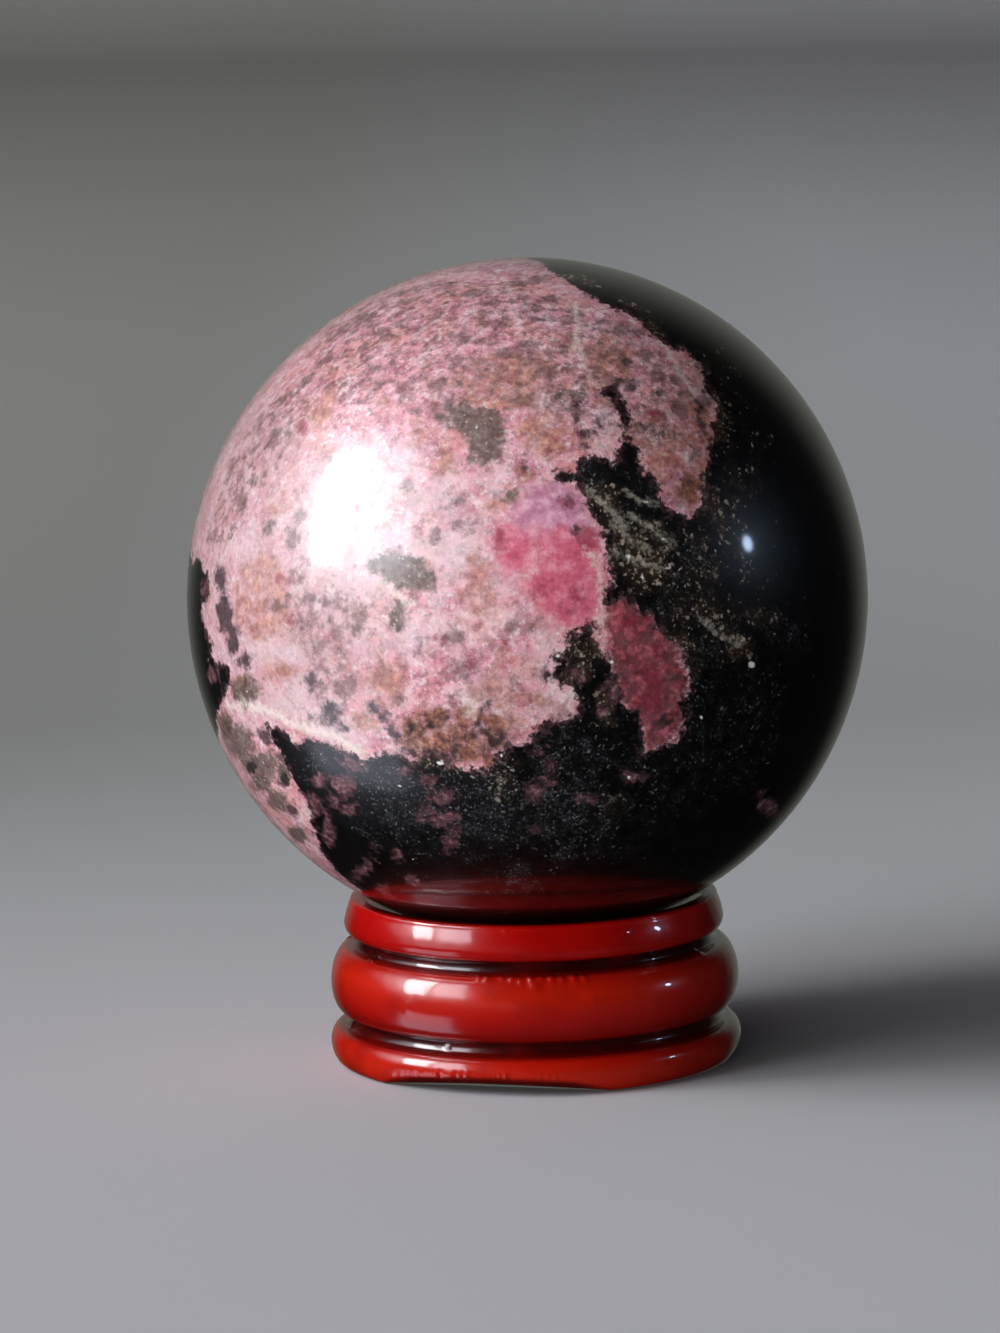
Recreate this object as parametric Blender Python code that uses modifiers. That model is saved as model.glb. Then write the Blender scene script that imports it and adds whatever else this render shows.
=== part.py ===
"""A polished rhodonite ball resting in a small turned wooden ring stand.

Metres, +Z up. The origin is on the table, at the centre of the stand, and the front is towards -Y.
"""

import math

import bmesh
import bpy
from mathutils import Matrix, Vector

MM = 0.001

# Ball
BALL_RADIUS = 25.0 * MM
BALL_CENTRE_HEIGHT = 34.2 * MM
BALL_SEGMENTS = 64
BALL_RINGS = 32

# Collar of the stand, which carries the ball in a seat
COLLAR_RIM_RADIUS = 13.6 * MM
COLLAR_TOP_HEIGHT = 12.3 * MM
COLLAR_RIM_ROUND = 0.35 * MM
COLLAR_RADIUS = 14.05 * MM
COLLAR_WIDEST_HEIGHT = 10.4 * MM
COLLAR_LIP_HEIGHT = 9.65 * MM
COLLAR_LIP_ROUND = 0.5 * MM
SEAT_GAP = 0.3 * MM
BORE_RADIUS = 8.5 * MM

# Cove between the collar and the bead
UPPER_COVE_RADIUS = 13.2 * MM
UPPER_COVE_HEIGHT = 9.3 * MM

# Round bead in the middle of the stand
BEAD_RADIUS = 15.1 * MM
BEAD_WIDEST_HEIGHT = 5.95 * MM
BEAD_TOP_RADIUS = 13.6 * MM
BEAD_TOP_HEIGHT = 8.7 * MM
BEAD_FOOT_RADIUS = 14.0 * MM
BEAD_FOOT_HEIGHT = 3.75 * MM

# Cove between the bead and the foot flange
LOWER_COVE_RADIUS = 13.7 * MM
LOWER_COVE_HEIGHT = 3.6 * MM

# Foot flange, which carries the feet
FLANGE_RADIUS = 15.2 * MM
FLANGE_WIDEST_HEIGHT = 1.6 * MM
FLANGE_SHOULDER_RADIUS = 14.15 * MM
FLANGE_TOP_HEIGHT = 2.8 * MM
CONTACT_RADIUS = 14.3 * MM

# Flat sloping cuts under the flange, which leave a low arch in its edge and three feet between them
ARCH_COUNT = 3
ARCH_HEIGHT = 1.5 * MM
ARCH_CHORD = 11.45 * MM
FRONT_ARCH_TURN = math.radians(-14.0)
CUTTER_SIDE = 24.0 * MM

# Fineness of the facets
STAND_STEPS = 72
EDGE_STEPS = 3
BEAD_STEPS = 5
FLANGE_STEPS = 4
SEAT_STEPS = 4
MERGE_DISTANCE = 0.01 * MM

QUARTER_TURN = math.pi / 2


def clear_scene():
    for obj in list(bpy.data.objects):
        bpy.data.objects.remove(obj, do_unlink=True)


def new_collection(name):
    collection = bpy.data.collections.new(name)
    bpy.context.scene.collection.children.link(collection)
    return collection


def move_to(obj, collection):
    for old in list(obj.users_collection):
        old.objects.unlink(obj)
    collection.objects.link(obj)


def material(name, colour, roughness):
    finish = bpy.data.materials.new(name)
    finish.use_nodes = True
    shader = finish.node_tree.nodes["Principled BSDF"]
    shader.inputs["Base Color"].default_value = (*colour, 1.0)
    shader.inputs["Roughness"].default_value = roughness
    shader.inputs["Metallic"].default_value = 0.0
    return finish


def polished_rhodonite():
    return material("polished_rhodonite", (0.36, 0.15, 0.16), roughness=0.08)


def red_lacquered_wood():
    return material("red_lacquered_wood", (0.42, 0.02, 0.01), roughness=0.15)


def quarter_arc(start, end, steps, leaves_level=True):
    """Points (r, z) on a quarter of an ellipse, both ends included.

    The arc sets out level and arrives upright, or the other way round.
    """
    points = []
    for i in range(steps + 1):
        angle = QUARTER_TURN * i / steps
        across, down = math.sin(angle), 1 - math.cos(angle)
        if not leaves_level:
            across, down = 1 - math.cos(angle), math.sin(angle)
        points.append((start[0] + (end[0] - start[0]) * across, start[1] + (end[1] - start[1]) * down))
    return points


def collar_profile():
    """Over the collar's rounded rim, down its widening side and under to its lower lip."""
    rim_start = (COLLAR_RIM_RADIUS - COLLAR_RIM_ROUND, COLLAR_TOP_HEIGHT)
    rim_end = (COLLAR_RIM_RADIUS, COLLAR_TOP_HEIGHT - COLLAR_RIM_ROUND)
    widest = (COLLAR_RADIUS, COLLAR_WIDEST_HEIGHT)
    lip = (COLLAR_RADIUS - COLLAR_LIP_ROUND, COLLAR_LIP_HEIGHT)
    rim = quarter_arc(rim_start, rim_end, EDGE_STEPS)
    return rim + quarter_arc(widest, lip, EDGE_STEPS, leaves_level=False)


def bead_profile():
    """From the bead's upper shoulder out to its widest circle and back in."""
    top = (BEAD_TOP_RADIUS, BEAD_TOP_HEIGHT)
    widest = (BEAD_RADIUS, BEAD_WIDEST_HEIGHT)
    foot = (BEAD_FOOT_RADIUS, BEAD_FOOT_HEIGHT)
    upper = quarter_arc(top, widest, BEAD_STEPS)
    lower = quarter_arc(widest, foot, BEAD_STEPS, leaves_level=False)
    return upper + lower[1:]


def flange_profile():
    """From the flange's upper shoulder out to its widest circle and in to the table."""
    top = (FLANGE_SHOULDER_RADIUS, FLANGE_TOP_HEIGHT)
    widest = (FLANGE_RADIUS, FLANGE_WIDEST_HEIGHT)
    contact = (CONTACT_RADIUS, 0.0)
    upper = quarter_arc(top, widest, FLANGE_STEPS)
    lower = quarter_arc(widest, contact, FLANGE_STEPS, leaves_level=False)
    return upper + lower[1:]


def seat_profile():
    """Up the bore and out along the seat, which follows the ball with a gap."""
    reach = BALL_RADIUS + SEAT_GAP
    seat_edge = math.sqrt(reach**2 - (BALL_CENTRE_HEIGHT - COLLAR_TOP_HEIGHT) ** 2)
    points = [(BORE_RADIUS, 0.0)]
    for i in range(SEAT_STEPS + 1):
        radius = BORE_RADIUS + (seat_edge - BORE_RADIUS) * i / SEAT_STEPS
        points.append((radius, BALL_CENTRE_HEIGHT - math.sqrt(reach**2 - radius**2)))
    return points


def stand_profile():
    """The whole closed section of the stand, from the rim down its outer side and up through the bore."""
    upper_cove = [(UPPER_COVE_RADIUS, UPPER_COVE_HEIGHT)]
    lower_cove = [(LOWER_COVE_RADIUS, LOWER_COVE_HEIGHT)]
    outside = collar_profile() + upper_cove + bead_profile() + lower_cove + flange_profile()
    return outside + seat_profile()


def turned(name, profile, collection):
    """A closed outline of (r, z) points turned about the Z axis."""
    mesh = bpy.data.meshes.new(name)
    outline = bmesh.new()
    corners = [outline.verts.new((r, 0.0, z)) for r, z in profile]
    for i, corner in enumerate(corners):
        outline.edges.new((corner, corners[(i + 1) % len(corners)]))
    outline.to_mesh(mesh)
    outline.free()
    obj = bpy.data.objects.new(name, mesh)
    collection.objects.link(obj)
    screw = obj.modifiers.new("Turn", "SCREW")
    screw.axis = "Z"
    screw.angle = math.tau
    screw.steps = STAND_STEPS
    screw.render_steps = STAND_STEPS
    screw.use_merge_vertices = True
    screw.merge_threshold = MERGE_DISTANCE
    screw.use_smooth_shade = True
    return obj


def arch_cutter(index, collection):
    """A block whose top slopes up and outwards from a straight line across the base."""
    bpy.ops.mesh.primitive_cube_add(size=CUTTER_SIDE)
    cutter = bpy.context.object
    cutter.name = f"arch_cutter_{index + 1}"
    slope = math.atan2(ARCH_HEIGHT, FLANGE_RADIUS - ARCH_CHORD)
    sink = Matrix.Translation(Vector((0.0, 0.0, -CUTTER_SIDE / 2)))
    lean = Matrix.Rotation(-slope, 4, "X")
    outwards = Matrix.Translation(Vector((0.0, -ARCH_CHORD, 0.0)))
    turn = Matrix.Rotation(FRONT_ARCH_TURN + index * math.tau / ARCH_COUNT, 4, "Z")
    cutter.data.transform(turn @ outwards @ lean @ sink)
    cutter.hide_render = True
    cutter.display_type = "WIRE"
    move_to(cutter, collection)
    return cutter


def make_ball(collection):
    bpy.ops.mesh.primitive_uv_sphere_add(
        segments=BALL_SEGMENTS,
        ring_count=BALL_RINGS,
        radius=BALL_RADIUS,
        location=(0.0, 0.0, BALL_CENTRE_HEIGHT),
    )
    ball = bpy.context.object
    ball.name = "rhodonite_ball"
    ball.data.shade_smooth()
    ball.data.materials.append(polished_rhodonite())
    move_to(ball, collection)


def make_stand(collection, cutters):
    stand = turned("ring_stand", stand_profile(), collection)
    for index in range(ARCH_COUNT):
        cut = stand.modifiers.new(f"Arch {index + 1}", "BOOLEAN")
        cut.operation = "DIFFERENCE"
        cut.object = arch_cutter(index, cutters)
    stand.data.materials.append(red_lacquered_wood())


def main():
    clear_scene()
    parts = new_collection("rhodonite_ball_on_ring_stand")
    cutters = new_collection("cutters")
    make_ball(parts)
    make_stand(parts, cutters)


main()
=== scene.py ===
"""The looks of a polished rhodonite ball in its red lacquered ring stand.

Metres, +Z up. The front is towards -Y. Places on the ball are given in millimetres on the picture plane:
x to the right and y up from the ball's centre, as the camera sees them, and for the far side as if seen
through the ball.
"""

import math

import bpy
import numpy as np
from mathutils import Matrix, Vector, noise


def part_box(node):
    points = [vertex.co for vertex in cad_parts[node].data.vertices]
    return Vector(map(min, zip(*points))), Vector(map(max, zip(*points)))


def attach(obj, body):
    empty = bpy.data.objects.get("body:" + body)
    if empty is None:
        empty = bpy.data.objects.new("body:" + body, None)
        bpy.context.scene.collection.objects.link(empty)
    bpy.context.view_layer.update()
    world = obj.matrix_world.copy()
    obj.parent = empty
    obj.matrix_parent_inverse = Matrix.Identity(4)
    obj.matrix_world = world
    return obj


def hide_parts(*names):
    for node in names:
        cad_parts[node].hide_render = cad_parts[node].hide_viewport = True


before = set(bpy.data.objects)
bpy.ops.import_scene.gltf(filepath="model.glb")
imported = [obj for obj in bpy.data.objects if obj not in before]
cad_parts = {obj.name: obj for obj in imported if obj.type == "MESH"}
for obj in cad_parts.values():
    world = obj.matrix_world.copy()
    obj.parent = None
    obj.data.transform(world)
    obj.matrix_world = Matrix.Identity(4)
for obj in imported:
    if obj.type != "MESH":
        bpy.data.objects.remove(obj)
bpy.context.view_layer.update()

MM = 0.001

# The ball, from the frame
BALL_LOW, BALL_HIGH = (np.array(corner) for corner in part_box("rhodonite_ball"))
BALL_CENTRE = (BALL_LOW + BALL_HIGH) / 2
BALL_RADIUS = (BALL_HIGH[2] - BALL_LOW[2]) / 2
BALL_RADIUS_MM = BALL_RADIUS / MM
BALL_LEVELS = 7

# The view: the camera's distance from the ball, its height above the horizon and its roll
VIEW_DISTANCE = 450 * MM
VIEW_RISE = math.radians(8.6)
VIEW_ROLL = math.radians(1.2)
PICTURE_SIZE = (1000, 1333)
BALL_PIXEL = (527.3, 598.0)
PIXELS_PER_METRE = 13600
SENSOR_MM = 36

BACKWARDS = Vector((0, -math.cos(VIEW_RISE), math.sin(VIEW_RISE)))
TILT = Matrix.Rotation(-VIEW_ROLL, 3, BACKWARDS)
RIGHT = TILT @ Vector((1, 0, 0))
UP = BACKWARDS.cross(RIGHT)
VIEW_AXES = np.array((RIGHT, UP, BACKWARDS))
EYE = np.array((
    (PICTURE_SIZE[0] / 2 - BALL_PIXEL[0]) / PIXELS_PER_METRE,
    (BALL_PIXEL[1] - PICTURE_SIZE[1] / 2) / PIXELS_PER_METRE,
    VIEW_DISTANCE,
))

# Distances past this many millimetres are all alike to the patterns
FAR_MM = 6.0
# The longest straight step along a line on the ball
SPAN_MM = 0.9


# The stone's areas on the side that faces the camera, clockwise from the top
PINK_FACE = [
    (0.3, 25), (1.4, 24.3), (2.3, 23.6), (3.4, 23), (5.5, 21.7), (7.2, 21.1), (8.2, 20.3), (9, 19.5),
    (9.9, 18.9), (10.6, 18.4), (11.2, 18.5), (12, 18.1), (12.7, 17.3), (13.1, 16.3), (13.4, 15.2),
    (13.9, 14.3), (13.9, 13), (13.6, 12.1), (13.2, 10.9), (13.5, 10.2), (13.2, 9.2), (12.9, 8), (12.9, 7),
    (12.3, 6.2), (11.5, 6), (10.5, 6.6), (9.9, 7.4), (9.7, 8.3), (9.3, 9), (8.6, 9.2), (8.1, 9.9),
    (8.2, 10.7), (7.9, 11.7), (7.5, 12.7), (7.2, 13.8), (6.8, 14.6), (6.3, 15.2), (5.6, 15.2), (6, 14.6),
    (6.5, 14.1), (6.9, 13), (7, 12), (6.9, 10.9), (6.4, 9.8), (5.5, 10.4), (4, 10.2), (3.5, 9.3), (2.6, 9.25),
    (1.8, 9.1), (2.6, 8.7), (3.6, 8.6), (4, 8.3), (4.1, 7.6), (4.6, 6.7), (5, 6), (5.6, 5.2), (5.6, 4.2),
    (5.8, 3.6), (5.9, 2.4), (5.9, 1.2), (5.7, 0), (6, -0.3), (6.7, 0.3), (7.6, -0.1), (8, -1), (9, -1.5),
    (10.3, -2.6), (11.2, -3.8), (11.9, -5.1), (11.9, -6.1), (11.5, -7.4), (11.8, -8.6), (11.7, -9.9),
    (10.8, -10.6), (9.4, -11), (8.7, -11.3), (8.7, -10.4), (8.5, -9.3), (7.6, -8.5), (6.9, -7.7), (6.5, -6.5),
    (6.5, -4.9), (5.9, -4), (4.9, -2.9), (4.7, -2), (3.9, -2.6), (3, -2.8), (2.8, -3.8), (1.7, -5.7),
    (2.4, -6.6), (3.6, -6.8), (3.9, -7.7), (3.7, -8.6), (2.8, -9.3), (1.5, -9.3), (0.6, -9.9), (0, -10.7),
    (-1.1, -11), (-1.9, -11.5), (-2.4, -12.5), (-4.1, -12.6), (-5.9, -12.2), (-6.9, -11.3), (-8.1, -11.8),
    (-8.8, -12), (-9.9, -11.5), (-10.8, -11.5), (-11.6, -11.8), (-12, -12.6), (-13, -11.5), (-14.1, -10.8),
    (-15.5, -10.4), (-16.8, -11.1), (-17.5, -10.2), (-18.2, -9.5), (-19.1, -9.3), (-18.6, -10.5),
    (-17.9, -11.7), (-17.3, -12.9), (-16.9, -13.9), (-16.2, -15.2), (-15.8, -16.5), (-15.3, -17.8),
    (-14.8, -19), (-14, -20), (-13, -20.9), (-12.2, -21.6),
]
PINK_FAR = [
    (-9.5, -21.5), (-7, -19), (-9.5, -15.5), (-5.5, -12.5), (-8, -8.5), (-3, -6), (-4.5, -1.5), (0.5, 1.5),
    (-1, 6), (3.5, 8.5), (2, 13), (5, 16), (3.5, 20), (2, 23.4),
]
# A second pink body on the far side
PINK_SECOND_FAR = [
    (6, -10), (9, -7), (8, -2.5), (12, 0.5), (11, 5.5), (14.5, 9), (19, 6), (21.5, 0), (20.5, -6),
    (19.2, -12), (17.8, -16.6), (15.4, -19), (11, -17.5), (8, -14.5),
]
# A third one under the ball's back
PINK_THIRD_FAR = [(-2, -16), (3, -15), (6.5, -18.5), (5, -22), (-1, -23), (-4.5, -20)]

# Black oxide inside the pink: the left edge and its far side
BLACK_LEFT = [
    (-24.9, 3.2), (-24.2, 2.7), (-23.5, 2), (-23.4, 0.2), (-23.9, -0.5), (-24, -1.2), (-23.7, -2.4),
    (-23, -3.3), (-23.5, -4.6), (-22.5, -5), (-21.7, -5.4), (-21.9, -6.2), (-22.3, -7), (-22.6, -8),
    (-22.9, -8.6), (-22.7, -10), (-22.8, -10.9),
]
BLACK_LEFT_FAR = [(-21.6, -11), (-20.5, -6.5), (-21.5, -2), (-20.8, 2), (-22.6, 5), (-24, 5)]

# Rose rhodonite, coarse and deep in colour
ROSE_LEFT = [
    (-2.6, 5.1), (-1.7, 5.2), (-0.9, 5), (0.2, 4.6), (0.6, 3.8), (0.4, 2.9), (-0.2, 1.9), (-0.6, 1.4),
    (-1.3, 1.8), (-2.1, 2.4), (-2.4, 3.4),
]
ROSE_RIGHT = [
    (0.7, 5), (2, 5.4), (3, 5.6), (4, 5), (5, 4.6), (5.3, 3), (5.5, 2), (5.7, 0.8), (5.6, -0.4), (5.3, -1.4),
    (4.3, -2), (3, -2), (2, -1.5), (1, -0.5), (0.2, 0.4), (-0.3, 1.2), (0.4, 1.9), (1.2, 2.8), (0.8, 3.3),
    (0.6, 4.2),
]
ROSE_SPOTS = [(0.4, 2.6, 0.9, 1.4, -30)]
ROSE_TOP = [
    (-1, 5.4), (-1, 7), (0, 8), (1.4, 8.6), (3, 8.3), (4, 7.4), (4.5, 6.4), (4.8, 5.4), (3, 5.4), (1, 5),
]
ROSE_LOBE = [
    (6.2, -0.3), (7.4, -0.2), (8, -1.1), (9.3, -2), (10.2, -3.2), (10.8, -4.6), (11.3, -5.9), (11, -7.4),
    (11.4, -8.8), (10.6, -9.8), (9.2, -10.7), (8.8, -9.4), (7.7, -8.2), (7, -7), (6.8, -5.2), (6.4, -4),
    (6, -2),
]

# Olive grey quartz and mica between the pink grains
OLIVE_UPPER = [
    (-5, 14.6), (-4.2, 14.8), (-4, 14.1), (-2.4, 13.9), (-1.4, 13.2), (-1.6, 12.2), (-1.7, 11.2), (-2, 10.2),
    (-3, 9.7), (-4.4, 10.1), (-4.3, 11.2), (-4.8, 12), (-5.6, 12.6), (-6.8, 13.1), (-6.6, 13.9), (-5.6, 13.6),
]
OLIVE_LOWER = [
    (-12, 2.5), (-11.2, 3.3), (-9.6, 3.7), (-8.4, 3.2), (-7.4, 2.6), (-6.7, 1.5), (-7, 0.6), (-8.2, 0.2),
    (-9.2, 0.5), (-10.2, 1.2), (-11.2, 1.7),
]

# Spots: centre x and y, half width, half height, and a lean in degrees where there is one
DARK_SPOTS = [
    (-14.6, -8.4, 0.85, 0.8), (-15.8, -6, 0.55, 0.4), (-10.3, -9, 0.35, 0.9, 20), (4.2, 12.3, 0.35, 0.7, 15),
    (5.1, 12.7, 0.25, 0.3), (4.3, 11.2, 0.4, 0.35), (-0.4, 9.7, 0.3, 0.2), (10.3, -9, 0.45, 0.5),
    (-4.3, -10.1, 0.7, 0.35), (-3, -9.9, 0.9, 0.35, -10), (-2.4, -10.4, 0.4, 0.6), (-7.2, -11.4, 0.7, 0.4),
    (-22.7, -6.4, 0.5, 0.9), (3.4, 6.9, 0.2, 0.25), (3.6, 14.3, 0.4, 0.3), (-11, -8.3, 0.5, 0.3),
    (8.4, 12.6, 0.5, 0.3), (-8.2, -11.3, 0.5, 0.3), (-5.2, -10.7, 0.5, 0.3), (-7.1, -9.4, 0.35, 0.25),
    (-3.7, -9.2, 0.3, 0.3), (-8.7, -9.6, 0.3, 0.4), (-22.3, -1.2, 0.6, 1.3), (-21.6, -3.2, 0.5, 1.0),
    (-22.6, 1.4, 0.5, 0.9), (-20.9, -4.6, 0.5, 0.5), (-19.2, -10.3, 0.45, 0.8, 30), (-17.9, -13.4, 0.4, 0.6),
    (-17.3, -15.6, 0.35, 0.6, 30), (-16.7, -12.3, 0.4, 0.4), (-20.3, -12.4, 0.35, 0.5),
    (-1.6, -10.6, 0.4, 0.25), (-2.9, -8, 0.3, 0.3), (-6.2, -8.6, 0.4, 0.25), (-9.6, -10.2, 0.3, 0.25),
    (2.9, 7.3, 0.4, 0.3), (-9.2, -11.4, 0.4, 0.3), (-5.6, -11.8, 0.6, 0.3), (7.6, 15.4, 0.4, 0.3),
    (-13.6, -9.6, 0.4, 0.3),
]
# Veins: half width, then the points that they run through
DARK_VEINS = [
    (0.45, (-22.5, -0.3), (-22.2, -1.3), (-21.8, -2.4), (-21.4, -3.8)),
    (0.22, (12.6, 14.3), (12.7, 13.2), (13, 12.2), (13.3, 11)),
    (0.25, (-11.4, -8), (-10.7, -8.4), (-10, -9.8)),
    (0.22, (4.1, 12), (3.7, 13), (3.6, 14)),
    (0.15, (3.5, 5.4), (3.7, 4.9)),
    (0.2, (6.2, 15.2), (6.9, 16.2), (7.2, 17.4)),
]
# Islands of pink in the black
ISLAND_SPOTS = [
    (-13.5, -13.8, 0.8, 0.75), (-6.1, -16.2, 0.9, 0.5), (-7.6, -15.6, 0.3, 0.7, -30),
    (-5.6, -17.8, 0.4, 0.8, -20), (0.5, -14.2, 0.7, 0.6), (7.6, -13.1, 0.5, 0.35), (8.4, -13.1, 0.4, 0.3),
    (0.9, -11.3, 0.45, 0.3), (1.7, -12.3, 0.2, 0.5, -20), (1.6, -13.4, 0.4, 0.25),
    (-9.5, -18.9, 0.5, 0.35, -40), (-8.4, -20.8, 0.6, 0.25, -25), (-12.3, -20.3, 0.3, 0.8, -35),
    (-10.5, -21.6, 0.6, 0.3, -35), (-13, -12.2, 0.7, 0.4, -35), (4.2, -14.6, 0.5, 0.3),
    (-7.2, -13.5, 0.45, 0.3), (-9, -12.8, 0.5, 0.3), (-13.2, -15.6, 0.5, 0.4), (-6.2, -14.6, 0.7, 0.5),
    (6.1, -7, 0.4, 0.7), (5.5, -8.2, 0.4, 0.5), (3.4, -5.6, 0.6, 0.35), (17.9, -15.5, 0.5, 0.8, 40),
    (0.8, -17, 0.4, 0.25), (-14.6, -16.4, 0.25, 1.1, 20), (-15.3, -13.4, 0.6, 0.5),
    (-15.6, -15.2, 0.4, 0.8, 25), (-14.6, -17.6, 0.4, 0.7, 25), (-14, -14.8, 0.45, 0.4),
    (-23.6, 0.8, 0.3, 0.6), (-23.2, -2, 0.3, 0.5), (-23.2, -5.6, 0.35, 0.5),
]
CRIMSON_SPOTS = [
    (-16.5, 12.6, 0.35, 0.5), (-18.1, 1.4, 0.5, 0.35), (-4.1, -4.6, 0.35, 0.5), (-6.4, -3.1, 0.5, 0.35),
    (-3.6, -2, 0.35, 0.3), (-2, 4.2, 0.5, 0.7), (3, 7.1, 0.6, 0.5), (9.2, 13.5, 0.5, 0.4),
    (9.3, -6.2, 0.6, 1.2, 20), (9, -7.6, 0.9, 0.7), (9.6, -3.7, 0.4, 0.25), (4.4, 4.6, 0.7, 0.8),
    (3.2, -0.8, 0.5, 0.3), (0.9, 0.5, 0.6, 0.3), (0.2, -7.6, 0.4, 0.25), (-1.6, -2.9, 0.3, 0.5),
    (8.7, -1.2, 0.3, 0.3), (3.6, 0.1, 0.4, 0.6), (-0.6, -7.9, 0.3, 0.2), (7.4, -1.8, 0.5, 0.4),
    (-12.9, 7, 0.4, 0.4), (-8, 5, 0.3, 0.4), (-17.4, -1.6, 0.35, 0.5),
]
OLIVE_SPOTS = [
    (-21.4, -10.6, 0.9, 1.5, 30), (-19.6, -13.6, 0.8, 0.7, 30), (-18.4, -15, 0.6, 0.9, 30),
    (-18, -11.6, 0.7, 0.45), (-9.6, -1.3, 0.7, 1.0), (-19.8, -12.3, 1.3, 0.9), (-17.9, -12.9, 0.5, 0.9, 25),
    (-20.8, -6.9, 1.0, 1.0, 30), (-22.2, -9.4, 0.5, 0.9, 10), (-16.9, -17.4, 0.8, 0.5, -30),
    (-1.4, 7.4, 0.5, 0.4), (9.8, 15.2, 0.3, 0.2), (3, 15.1, 0.9, 0.4), (-19, 5.2, 0.4, 0.4),
    (-20, 8.5, 0.3, 0.3), (-5.5, 13.7, 0.7, 0.6), (18.4, -15.8, 0.5, 0.8, 40), (9.7, 12.1, 0.9, 0.4),
    (5.9, 13.5, 0.3, 0.3), (-15.6, -9, 0.5, 0.3),
]
RUST_SPOTS = [
    (0.2, 8.9, 0.7, 0.5), (-2.3, 7, 0.6, 0.4), (-1.5, 16.4, 2.2, 0.9), (1.5, 11.8, 1.3, 1.5),
    (0.4, 12.6, 0.6, 0.7), (-0.3, 14.8, 0.5, 0.4), (-6, 10, 0.6, 0.9), (-7.8, 12.4, 0.5, 0.4),
    (-10.3, 14.3, 0.4, 0.35), (-15.2, 13.6, 0.8, 0.5, 30), (-14.3, 14.6, 0.4, 0.5), (-20.2, 0.9, 0.5, 0.7),
    (-18.8, -1.7, 0.4, 0.8), (-18.3, 6.6, 0.6, 0.5), (-3.5, 2.2, 0.5, 0.5), (-3.3, -0.8, 0.4, 0.4),
    (-4.5, 0.2, 0.8, 0.7), (-1.9, -4.3, 0.4, 0.6), (0.3, -5.4, 0.5, 0.5), (-10.4, -5.9, 1.0, 1.1),
    (13.2, 11.6, 0.6, 1.1), (12.6, 9.6, 0.6, 0.9), (5.4, 17.3, 0.9, 1.3), (5.9, 15.9, 0.5, 0.5),
    (12, 11.8, 0.7, 0.4), (1.2, -7.6, 1.1, 0.4), (-18.2, -5.4, 1.2, 0.4), (8.9, -11.2, 0.35, 0.35),
    (-20.9, -6.3, 0.8, 0.5, -30), (-11.9, -12.5, 0.4, 0.3), (-2.8, -6.7, 0.7, 0.9), (11.8, 8, 0.9, 1.0),
    (12.8, 16.6, 0.3, 0.8), (-6, -16, 0.6, 0.4), (-12.2, -9, 0.9, 0.6), (-22.2, -9.3, 0.4, 0.8),
    (-20, -0.4, 0.6, 0.4), (12.6, 13, 0.7, 1.0),
]
# Umber stain along the lower border
UMBER_SPOTS = [
    (-6.9, -8.7, 1.4, 0.8), (-8.2, -10.2, 0.8, 1.1), (-4.1, -11.3, 2.0, 0.7), (-2.2, -12.1, 0.9, 0.6),
    (-2.3, -9.3, 0.8, 0.9), (-6, -10.4, 0.8, 0.8), (11.9, 8, 0.8, 0.9), (-22.2, -9.3, 0.4, 0.8),
    (-20.9, -6.3, 0.6, 0.4),
]
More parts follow.
